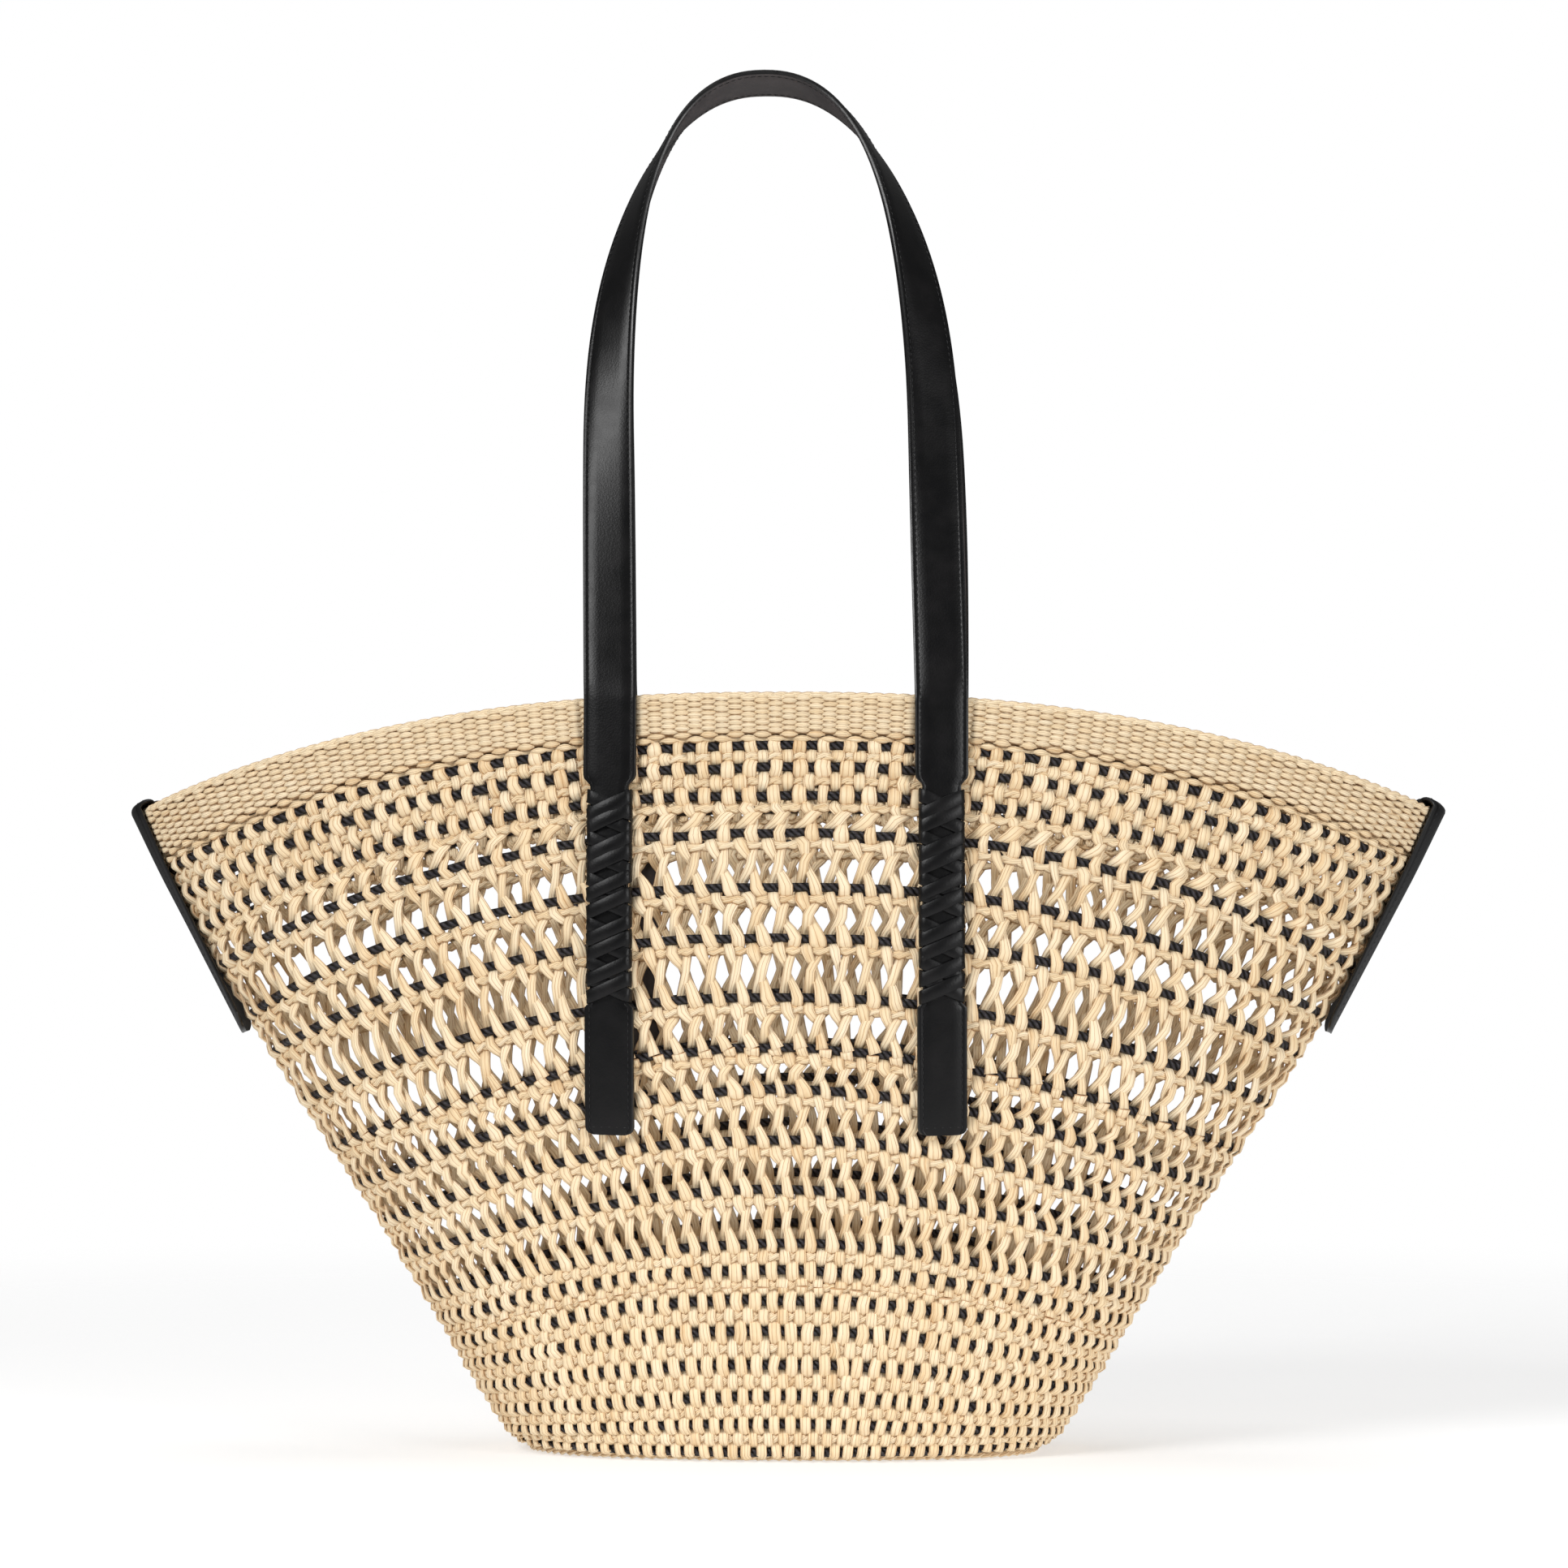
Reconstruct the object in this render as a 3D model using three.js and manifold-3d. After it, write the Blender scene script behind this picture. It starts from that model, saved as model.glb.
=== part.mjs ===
// Straw basket bag: a woven raffia basket with an oval base, an open-work belt round its wall and a twined rim,
// two leather carrying straps laced to its front and back, and a leather tab hooked over each end of the rim.
// Millimetres. +X runs along the mouth, the front faces -Y and +Z is up. The origin is on the ground, under the middle.
import * as THREE from "three";
import { mergeVertices } from "three/addons/utils/BufferGeometryUtils.js";
import Module from "manifold-3d";

const wasm = await Module();
wasm.setup();

// Gap between pieces that touch on the real bag
const CLEARANCE = 0.3;

// Basket
const MOUTH_WIDTH = 610;
const MOUTH_DEPTH = 176;
const BODY_HEIGHT = 348; // front middle of the rim above the ground
const END_DROP = 51.4; // how far the ends of the rim hang below its middle
const WALL_THICKNESS = 5; // raffia wound over a cord
const RIM_THICKNESS = 4;
const RIM_BAND_HEIGHT = 22.3;
const RIM_ROUNDING = 1.2;
const RIM_COLUMNS = 72;
const BASE_THICKNESS = 4.4;
const BASE_EDGE_ROUNDING = 1.4;

// Open-work belt: each band between two cords has one gap in every second column
const COLUMNS = 48;
const GAP_WIDTH_SHARE = 0.74; // of its column
const GAP_HEIGHT_SHARE = 0.78; // of its band
const GAP_FLANK_SHARE = 0.34; // straight flank of a gap, of its band
const END_COLUMN_STRETCH = 0.3; // columns at the tight ends take this much more of the turn

// Straps
const STRAP_WIDTH = 24;
const STRAP_THICKNESS = 2.7;
const STRAP_EDGE_ROUNDING = 0.8;
const STRAP_SEAT = 0.6; // between the strap's back and the uneven weave
const STRAP_HALF_SPACING = 74.2;
const STRAP_RISE = 290.7; // top of the rim to the middle of the crown
const STRAP_ARCH_HEIGHT = 182; // part of the rise that bends over
const STRAP_ARCH_SQUARENESS = 2.3;
const CROWN_OFFSET = 15.3; // crown of the front strap in front of the bag's middle plane
const CROWN_TWIST = 91; // degrees from lying flat, measured on the leaning loop
const TWIST_POWER = 2.45; // how late a leg turns on its way up to the crown
const LOOP_SWAY = 8.3; // how far both crowns stand to the left of the middle
const BACK_LEG_LEAN = 13; // how far the back strap's left leg swings out at the rim, less with height
const BACK_LIFT = 6.5; // how far the back strap's crown stands above the front one's
const BACK_BOW = 3; // how far the back strap's legs bow out halfway up
const BACK_TWIST = 97; // degrees, of the back strap's crown
const BACK_TWIST_POWER = 1.55;
const FULL_WIDTH_RUN = 36; // heights below the top of the rim
const SHOULDER_RUN = 5.5;
const NECK_WIDTH = 17.5;
const NECK_RUN = 96;
const TAB_SHOULDER_RUN = 2.5;
const STRAP_TAB_WIDTH = 22.4;
const STRAP_TAB_RUN = 56.7;
const STRAP_TAB_CORNER = 3.5;

// Lacing round the neck of each strap
const THONG_RUN = 8.4; // along the strap, as a 5.6 mm thong lies across it
const THONG_THICKNESS = 1.2;
const CROSSINGS = 4;

// Side tabs
const TAB_WIDTH = 28;
const TAB_THICKNESS = 2.3;
const TAB_SEAT = 0.8; // between the tab and the uneven rim
const TAB_HUG_RUN = 27; // outside length that follows the rim
const TAB_LEAF_RUN = 80; // straight length below that
const TAB_LEAF_STANDOFF = 3.2; // between the end of the leaf and the wall
const TAB_LEAF_FLATTENING = 0.6; // of the rim's bow, lost by the end of the leaf
const TAB_FLAP_RUN = 19; // inside the rim
const TAB_END_ROUNDING = 9;
const TAB_EDGE_ROUNDING = 0.6;

const FOOT = BASE_THICKNESS + CLEARANCE;
const WALL_RISE = BODY_HEIGHT - FOOT;
const SEAM = 1 - RIM_BAND_HEIGHT / WALL_RISE; // level of the seam between wall and rim
const SEAM_HALF = CLEARANCE / WALL_RISE / 2;

// Sections of the basket's outer face, from the foot to the top of the rim.
// level: share of the wall's rise at the front; width and depth: shares of the mouth's; drop: share of END_DROP;
// square: exponent of the oval; sag: exponent of the drop towards the ends.
const SECTIONS = [
  { level: 0.0, width: 0.408, depth: 0.67, drop: 0.0, square: 2.5, sag: 2.0 },
  { level: 0.036, width: 0.426, depth: 0.716, drop: 0.156, square: 2.5, sag: 2.0 },
  { level: 0.116, width: 0.469, depth: 0.79, drop: 0.315, square: 2.4, sag: 2.1 },
  { level: 0.202, width: 0.508, depth: 0.841, drop: 0.51, square: 2.3, sag: 2.1 },
  { level: 0.277, width: 0.552, depth: 0.898, drop: 0.59, square: 2.2, sag: 2.0 },
  { level: 0.415, width: 0.62, depth: 0.977, drop: 0.85, square: 2.1, sag: 1.9 },
  { level: 0.481, width: 0.659, depth: 1.011, drop: 0.947, square: 2.1, sag: 1.8 },
  { level: 0.6, width: 0.744, depth: 1.045, drop: 0.99, square: 2.05, sag: 2.1 },
  { level: 0.677, width: 0.792, depth: 1.057, drop: 1.06, square: 2.0, sag: 2.4 },
  { level: 0.744, width: 0.828, depth: 1.057, drop: 1.165, square: 2.0, sag: 2.4 },
  { level: 0.814, width: 0.874, depth: 1.045, drop: 1.196, square: 1.95, sag: 2.4 },
  { level: 0.863, width: 0.905, depth: 1.034, drop: 1.187, square: 1.9, sag: 2.4 },
  { level: 0.929, width: 0.954, depth: 1.017, drop: 1.08, square: 1.9, sag: 2.4 },
  { level: 1.0, width: 1.0, depth: 1.0, drop: 1.0, square: 1.85, sag: 2.4 },
];

// Cords that bound the wall's bands, as levels; a band is open work or closely woven.
const BANDS = [
  { level: 0.036, open: false },
  { level: 0.116, open: false },
  { level: 0.202, open: false },
  { level: 0.277, open: false },
  { level: 0.415, open: false },
  { level: 0.481, open: false },
  { level: 0.533, open: true },
  { level: 0.6, open: true },
  { level: 0.677, open: true },
  { level: 0.744, open: true },
  { level: 0.814, open: true },
  { level: 0.863, open: false },
  { level: SEAM - SEAM_HALF, open: false },
];

const RIM_LEVELS = [SEAM + SEAM_HALF, (SEAM + 1) / 2, 1 - RIM_ROUNDING / WALL_RISE];

// One column of SECTIONS at a level, on a smooth curve through the rows.
function sectionValue(column, level) {
  const last = SECTIONS.length - 1;
  let k = SECTIONS.findIndex((row) => row.level >= level);
  if (k < 0) k = last;
  k = Math.max(1, k);
  const from = SECTIONS[k - 1];
  const to = SECTIONS[k];
  const span = to.level - from.level;
  const slope = (i) => {
    const a = SECTIONS[Math.max(0, i - 1)];
    const b = SECTIONS[Math.min(last, i + 1)];
    return (b[column] - a[column]) / (b.level - a.level);
  };
  const t = (level - from.level) / span;
  const t2 = t * t;
  const t3 = t2 * t;
  return (
    (2 * t3 - 3 * t2 + 1) * from[column] +
    (t3 - 2 * t2 + t) * span * slope(k - 1) +
    (3 * t2 - 2 * t3) * to[column] +
    (t3 - t2) * span * slope(k)
  );
}

// Half width, half depth and exponent of the outer face at a level.
function oval(level) {
  return {
    halfWidth: (MOUTH_WIDTH / 2) * sectionValue("width", level),
    halfDepth: (MOUTH_DEPTH / 2) * sectionValue("depth", level),
    square: sectionValue("square", level),
  };
}

const signedPower = (value, power) => Math.sign(value) * Math.abs(value) ** power;

// Point of the outer face at an angle round the oval and a level.
function facePoint(angle, level) {
  const { halfWidth, halfDepth, square } = oval(level);
  const across = signedPower(Math.cos(angle), 2 / square);
  const along = signedPower(Math.sin(angle), 2 / square);
  const drop = END_DROP * sectionValue("drop", level) * Math.abs(across) ** sectionValue("sag", level);
  return new THREE.Vector3(halfWidth * across, halfDepth * along, FOOT + WALL_RISE * level - drop);
}

// Outward unit normal of the outer face.
function faceNormal(angle, level) {
  const step = 1e-3;
  const up = Math.min(1, level + step);
  const down = Math.max(0, level - step);
  const round = facePoint(angle + step, level).sub(facePoint(angle - step, level));
  const rise = facePoint(angle, up).sub(facePoint(angle, down));
  return round.cross(rise).normalize();
}

// Point at a distance outside the outer face; a negative distance is inside.
function offsetPoint(angle, level, distance) {
  return facePoint(angle, level).addScaledVector(faceNormal(angle, level), distance);
}

// Angles round the oval: where the front face has this x, and where the right end has this y.
function frontAngle(x, level) {
  const { halfWidth, square } = oval(level);
  const turn = Math.acos(Math.abs(x / halfWidth) ** (square / 2));
  return x < 0 ? Math.PI + turn : -turn;
}
function endAngle(y, level) {
  const { halfDepth, square } = oval(level);
  return Math.sign(y) * Math.asin(Math.abs(y / halfDepth) ** (square / 2));
}

// Level at which the front face has this height at this x.
function frontLevel(x, height) {
  let level = (height - FOOT) / WALL_RISE;
  for (let k = 0; k < 12; k++) level += (height - facePoint(frontAngle(x, level), level).z) / WALL_RISE;
  return level;
}

const columnAngle = (column) => {
  const turn = (2 * Math.PI * column) / COLUMNS;
  return turn + (END_COLUMN_STRETCH / 2) * Math.sin(2 * turn);
};

// Collects triangles of a closed surface.
class Shell {
  positions = [];
  triangle(...corners) {
    corners.forEach((corner) => this.positions.push(corner.x, corner.y, corner.z));
  }
  quad(a, b, c, d) {
    this.triangle(a, b, c);
    this.triangle(a, c, d);
  }
  fan(centre, ring) {
    ring.forEach((point, i) => this.triangle(centre, point, ring[(i + 1) % ring.length]));
  }
  geometry() {
    const made = new THREE.BufferGeometry();
    made.setAttribute("position", new THREE.Float32BufferAttribute(this.positions, 3));
    return mergeVertices(made, 1e-4);
  }
}

const centreOf = (ring) =>
  ring.reduce((sum, point) => sum.add(point), new THREE.Vector3()).divideScalar(ring.length);

// Solid through rings of equal length, closed by a fan at each end, or into a hoop.
function loft(rings, hoop = false) {
  const shell = new Shell();
  const spans = hoop ? rings.length : rings.length - 1;
  for (let k = 0; k < spans; k++) {
    const near = rings[k];
    const far = rings[(k + 1) % rings.length];
    near.forEach((point, i) => {
      const next = (i + 1) % near.length;
      shell.quad(point, near[next], far[next], far[i]);
    });
  }
  if (!hoop) {
    shell.fan(centreOf(rings[0]), [...rings[0]].reverse());
    shell.fan(centreOf(rings.at(-1)), rings.at(-1));
  }
  return shell.geometry();
}

// Outline of one gap, in shares of its column and band, anticlockwise from its lowest point.
const GAP_OUTLINE = [
  { across: 0, up: -GAP_HEIGHT_SHARE / 2 },
  { across: GAP_WIDTH_SHARE / 2, up: -GAP_FLANK_SHARE / 2 },
  { across: GAP_WIDTH_SHARE / 2, up: GAP_FLANK_SHARE / 2 },
  { across: 0, up: GAP_HEIGHT_SHARE / 2 },
  { across: -GAP_WIDTH_SHARE / 2, up: GAP_FLANK_SHARE / 2 },
  { across: -GAP_WIDTH_SHARE / 2, up: -GAP_FLANK_SHARE / 2 },
];

// Pierced wall, from the base to the seam under the rim band.
function basketWall() {
  const shell = new Shell();
  const levels = [0, ...BANDS.map((band) => band.level)];
  const skin = (column, level, depth) => {
    if (level > 0) return offsetPoint(columnAngle(column), level, -depth);
    const normal = faceNormal(columnAngle(column), level).setZ(0);
    return facePoint(columnAngle(column), 0).addScaledVector(normal, -depth / normal.lengthSq());
  };
  BANDS.forEach((band, b) => {
    const [low, high] = [levels[b], levels[b + 1]];
    for (let column = 0; column < COLUMNS; column++) {
      const pierced = band.open && (column + b) % 2 === 0;
      const corners = [
        [column, low],
        [column + 1, low],
        [column + 1, high],
        [column, high],
      ];
      const outer = corners.map(([c, level]) => skin(c % COLUMNS, level, 0));
      const inner = corners.map(([c, level]) => skin(c % COLUMNS, level, WALL_THICKNESS));
      if (!pierced) {
        shell.quad(...outer);
        shell.quad(...inner.reverse());
        continue;
      }
      const edge = (depth) =>
        GAP_OUTLINE.map(({ across, up }) => {
          const from = columnAngle(column);
          const angle = from + (0.5 + across) * (columnAngle(column + 1) - from);
          return offsetPoint(angle, low + (0.5 + up) * (high - low), -depth);
        });
      const outerEdge = edge(0);
      const innerEdge = edge(WALL_THICKNESS);
      const pierce = ([a, c, d, e], gap, face) => {
        face(a, c, gap[0]);
        face(c, gap[1], gap[0]);
        face(c, d, gap[1]);
        face(d, gap[2], gap[1]);
        face(d, gap[3], gap[2]);
        face(d, e, gap[3]);
        face(e, gap[4], gap[3]);
        face(e, a, gap[4]);
        face(a, gap[5], gap[4]);
        face(a, gap[0], gap[5]);
      };
      pierce(outer, outerEdge, (...t) => shell.triangle(...t));
      pierce(inner, innerEdge, (...t) => shell.triangle(...t.reverse()));
      outerEdge.forEach((point, i) => {
        const next = (i + 1) % outerEdge.length;
        shell.quad(point, outerEdge[next], innerEdge[next], innerEdge[i]);
      });
    }
  });
  for (let column = 0; column < COLUMNS; column++) {
    const next = (column + 1) % COLUMNS;
    const top = levels.at(-1);
    shell.quad(
      skin(column, top, 0),
      skin(next, top, 0),
      skin(next, top, WALL_THICKNESS),
      skin(column, top, WALL_THICKNESS),
    );
    shell.quad(
      skin(next, 0, 0),
      skin(column, 0, 0),
      skin(column, 0, WALL_THICKNESS),
      skin(next, 0, WALL_THICKNESS),
    );
  }
  return shell.geometry();
}

// Flat oval base with a rounded edge, its outline that of the wall's foot.
function basketBase() {
  const ring = (height, inset) =>
    Array.from({ length: COLUMNS }, (_, column) => {
      const angle = columnAngle(column);
      const inward = faceNormal(angle, 0).setZ(0).normalize();
      return facePoint(angle, 0).addScaledVector(inward, -inset).setZ(height);
    });
  return loft([
    ring(0, BASE_EDGE_ROUNDING),
    ring(BASE_EDGE_ROUNDING, 0),
    ring(BASE_THICKNESS - BASE_EDGE_ROUNDING, 0),
    ring(BASE_THICKNESS, BASE_EDGE_ROUNDING),
  ]);
}

// Twined band round the mouth, with its top edges rounded off.
function rimBand() {
  const rings = Array.from({ length: RIM_COLUMNS }, (_, column) => {
    const angle = (2 * Math.PI * column) / RIM_COLUMNS;
    const side = (depth) => RIM_LEVELS.map((level) => offsetPoint(angle, level, -depth));
    return [
      ...side(0),
      offsetPoint(angle, 1, -RIM_ROUNDING),
      offsetPoint(angle, 1, RIM_ROUNDING - RIM_THICKNESS),
      ...side(RIM_THICKNESS).toReversed(),
    ];
  });
  return loft(rings.toReversed(), true);
}

const STRAP_TOP = facePoint(frontAngle(STRAP_HALF_SPACING, 1), 1).z;

// Place of a leg's middle line at a height below the top of the rim; lean is its swing outwards there.
function seatStation(distance, lean = 0) {
  const x = STRAP_HALF_SPACING + lean;
  const level = distance > 0 ? frontLevel(x, STRAP_TOP - distance) : 1;
  const angle = frontAngle(x, level);
  return {
    centre: offsetPoint(angle, level, STRAP_SEAT + STRAP_THICKNESS / 2),
    facing: faceNormal(angle, level),
  };
}

const NECK_TOP = FULL_WIDTH_RUN + SHOULDER_RUN;
const NECK_FOOT = NECK_TOP + NECK_RUN;
const TAB_TOP = NECK_FOOT + TAB_SHOULDER_RUN;
const TAB_FOOT = TAB_TOP + STRAP_TAB_RUN;

// Heights below the rim with the strap's width there, from its end up to the rim.
const SEAT_RUN = [
  { distance: TAB_FOOT, width: STRAP_TAB_WIDTH - 2 * STRAP_TAB_CORNER },
  { distance: TAB_FOOT - 0.3 * STRAP_TAB_CORNER, width: STRAP_TAB_WIDTH - 0.6 * STRAP_TAB_CORNER },
  { distance: TAB_FOOT - STRAP_TAB_CORNER, width: STRAP_TAB_WIDTH },
  { distance: (TAB_FOOT + TAB_TOP) / 2, width: STRAP_TAB_WIDTH },
  { distance: TAB_TOP, width: STRAP_TAB_WIDTH },
  { distance: NECK_FOOT, width: NECK_WIDTH },
  { distance: NECK_FOOT - NECK_RUN / 3, width: NECK_WIDTH },
  { distance: NECK_TOP + NECK_RUN / 3, width: NECK_WIDTH },
  { distance: NECK_TOP, width: NECK_WIDTH },
  { distance: FULL_WIDTH_RUN, width: STRAP_WIDTH },
  { distance: FULL_WIDTH_RUN / 2, width: STRAP_WIDTH },
  { distance: 0, width: STRAP_WIDTH },
];

// One half of the front strap, from its end on the wall to the crown. Its leg may lean out at the rim and bow out
// halfway up, and its crown may sway outwards and lift.
function strapHalf({ lean, bow, sway, lift, twist, power }) {
  const seat = SEAT_RUN.map(({ distance, width }) => {
    const free = Math.max(0, 1 - distance / FULL_WIDTH_RUN);
    return { ...seatStation(distance, lean * free), width };
  });
  const foot = seatStation(0).centre;
  const crown = new THREE.Vector3(0, -CROWN_OFFSET, foot.z + STRAP_RISE + lift);
  const upward = crown.clone().setX(foot.x).sub(foot);
  const rise = upward.length();
  upward.normalize();
  const sideways = new THREE.Vector3(1, 0, 0);
  const forward = upward.clone().cross(sideways).negate();
  const straight = rise - STRAP_ARCH_HEIGHT;
  const roundness = 2 / STRAP_ARCH_SQUARENESS;
  const loopPoint = (x, h) => {
    const share = h / rise;
    const shift = lean * (1 - share) + bow * Math.sin(Math.PI * share) + sway * share;
    return new THREE.Vector3(x + shift, foot.y, foot.z).addScaledVector(upward, h);
  };
  const centres = [0.25, 0.6].map((share) => loopPoint(foot.x, share * straight));
  const steps = 13;
  for (let k = 0; k <= steps; k++) {
    const turn = ((Math.PI / 2) * k) / steps;
    const x = foot.x * Math.abs(Math.cos(turn)) ** roundness;
    centres.push(loopPoint(k === steps ? 0 : x, straight + STRAP_ARCH_HEIGHT * Math.sin(turn) ** roundness));
  }
  const lengths = [0];
  const path = [seat.at(-1).centre, ...centres];
  path.slice(1).forEach((point, i) => lengths.push(lengths[i] + point.distanceTo(path[i])));
  const loop = centres.map((centre, i) => {
    const before = path[i];
    const after = path[i + 2] ?? path[i].clone().setX(2 * sway - path[i].x);
    const tangent = after.clone().sub(before).normalize();
    const outward = tangent.clone().cross(forward).normalize();
    if (outward.dot(new THREE.Vector3(1, 0, 1)) < 0) outward.negate();
    const share = (lengths[i + 1] / lengths.at(-1)) ** power;
    const turned = THREE.MathUtils.degToRad(twist) * Math.sin((Math.PI / 2) * share);
    const facing = forward.clone().multiplyScalar(Math.cos(turned)).addScaledVector(outward, Math.sin(turned));
    return { centre, facing, tangent, width: STRAP_WIDTH };
  });
  const stations = [...seat, ...loop];
  stations.forEach((station, i) => {
    if (station.tangent) return;
    const before = stations[Math.max(0, i - 1)].centre;
    station.tangent = stations[i + 1].centre.clone().sub(before).normalize();
  });
  return stations;
}

// Section of a strap at a station: a flat bar with its edges rounded off.
function strapSection({ centre, facing, tangent, width }) {
  const across = tangent.clone().cross(facing).normalize();
  const out = across.clone().cross(tangent).normalize();
  const [w, t, r] = [width / 2, STRAP_THICKNESS / 2, STRAP_EDGE_ROUNDING];
  const outline = [
    [w - r, -t],
    [-w + r, -t],
    [-w, -t + r],
    [-w, t - r],
    [-w + r, t],
    [w - r, t],
    [w, t - r],
    [w, -t + r],
  ];
  return outline.map(([u, q]) => centre.clone().addScaledVector(across, u).addScaledVector(out, q));
}

// Front strap, from its right end over the crown to its left end. Only its right leg may lean out at the rim.
function strap(loop) {
  const right = strapHalf(loop);
  const mirrored = strapHalf({ ...loop, lean: 0, sway: -loop.sway }).slice(0, -1);
  const left = mirrored.toReversed().map(({ centre, facing, tangent, width }) => ({
    centre: centre.clone().setX(-centre.x),
    facing: facing.clone().setX(-facing.x),
    tangent: tangent.clone().setX(-tangent.x).negate(),
    width,
  }));
  return loft([...right, ...left].map(strapSection));
}

const solidOf = (geometry) =>
  new wasm.Manifold(
    new wasm.Mesh({
      numProp: 3,
      vertProperties: geometry.attributes.position.array,
      triVerts: new Uint32Array(geometry.index.array),
    }),
  );

// Criss-crossed thong over the neck of the front strap; side is 1 for the right leg and -1 for the left.
function lacing(side) {
  const edge = NECK_WIDTH / 2 + CLEARANCE;
  const face = STRAP_THICKNESS / 2 + CLEARANCE;
  const back = -STRAP_THICKNESS / 2 - STRAP_SEAT + CLEARANCE;
  const lift = THONG_THICKNESS * 0.9;
  const pitch = (NECK_RUN - THONG_RUN) / CROSSINGS;
  // Where the thong's middle runs: share of the way across, and how high over the strap's face
  const under = [
    { across: -1, height: 0 },
    { across: 1, height: 0 },
  ];
  const over = [
    { across: -1, height: 0 },
    { across: -0.35, height: lift },
    { across: 0.35, height: lift },
    { across: 1, height: 0 },
  ];
  const place = (distance, u, q) => {
    const { centre, facing } = seatStation(distance);
    const below = seatStation(distance + 1).centre;
    const up = centre.clone().sub(below).normalize();
    const across = up.clone().cross(facing).normalize();
    const spot = centre.clone().addScaledVector(across, side * u).addScaledVector(facing, q);
    return spot.setX(side * spot.x);
  };
  const band = (start, finish, run) => {
    const stops = run.map(({ across, height }) => ({ u: across, height, corner: Math.abs(across) === 1 }));
    const ring = (distance, inner, outer) => {
      const [low, high] = [distance + THONG_RUN / 2, distance - THONG_RUN / 2];
      return [place(low, ...inner), place(high, ...inner), place(high, ...outer), place(low, ...outer)];
    };
    const rings = [];
    stops.forEach(({ u, height, corner }) => {
      const distance = start + ((u + 1) / 2) * (finish - start);
      const reach = u * edge;
      const far = u * (edge + THONG_THICKNESS);
      const foot = ring(distance, [reach, back], [far, back]);
      const bend = ring(distance, [reach, face], [far, face + THONG_THICKNESS]);
      const flat = ring(distance, [reach, face + height], [reach, face + height + THONG_THICKNESS]);
      if (!corner) rings.push(flat);
      else if (u < 0) rings.push(foot, bend);
      else rings.push(bend, foot);
    });
    return solidOf(loft(rings));
  };
  let joined = null;
  for (let k = 0; k < CROSSINGS; k++) {
    const top = NECK_TOP + THONG_RUN / 2 + k * pitch;
    const rising = band(top + pitch, top, over);
    const falling = band(top, top + pitch, under);
    const cross = rising.add(falling);
    joined = joined ? joined.add(cross) : cross;
  }
  const mesh = joined.getMesh();
  const made = new THREE.BufferGeometry();
  made.setAttribute("position", new THREE.BufferAttribute(mesh.vertProperties, mesh.numProp));
  made.setIndex(new THREE.BufferAttribute(mesh.triVerts, 1));
  return made;
}

// Direction of a side tab's leaf: straight from the rim to its stand-off outside the wall's right end.
function leafDirection(root, rootLevel) {
  const target = (level) => offsetPoint(0, level, TAB_LEAF_STANDOFF + TAB_THICKNESS / 2).sub(root);
  let [near, far] = [rootLevel, 0];
  for (let k = 0; k < 24; k++) {
    const middle = (near + far) / 2;
    if (target(middle).length() < TAB_LEAF_RUN) near = middle;
    else far = middle;
  }
  return target(near).normalize();
}

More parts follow.
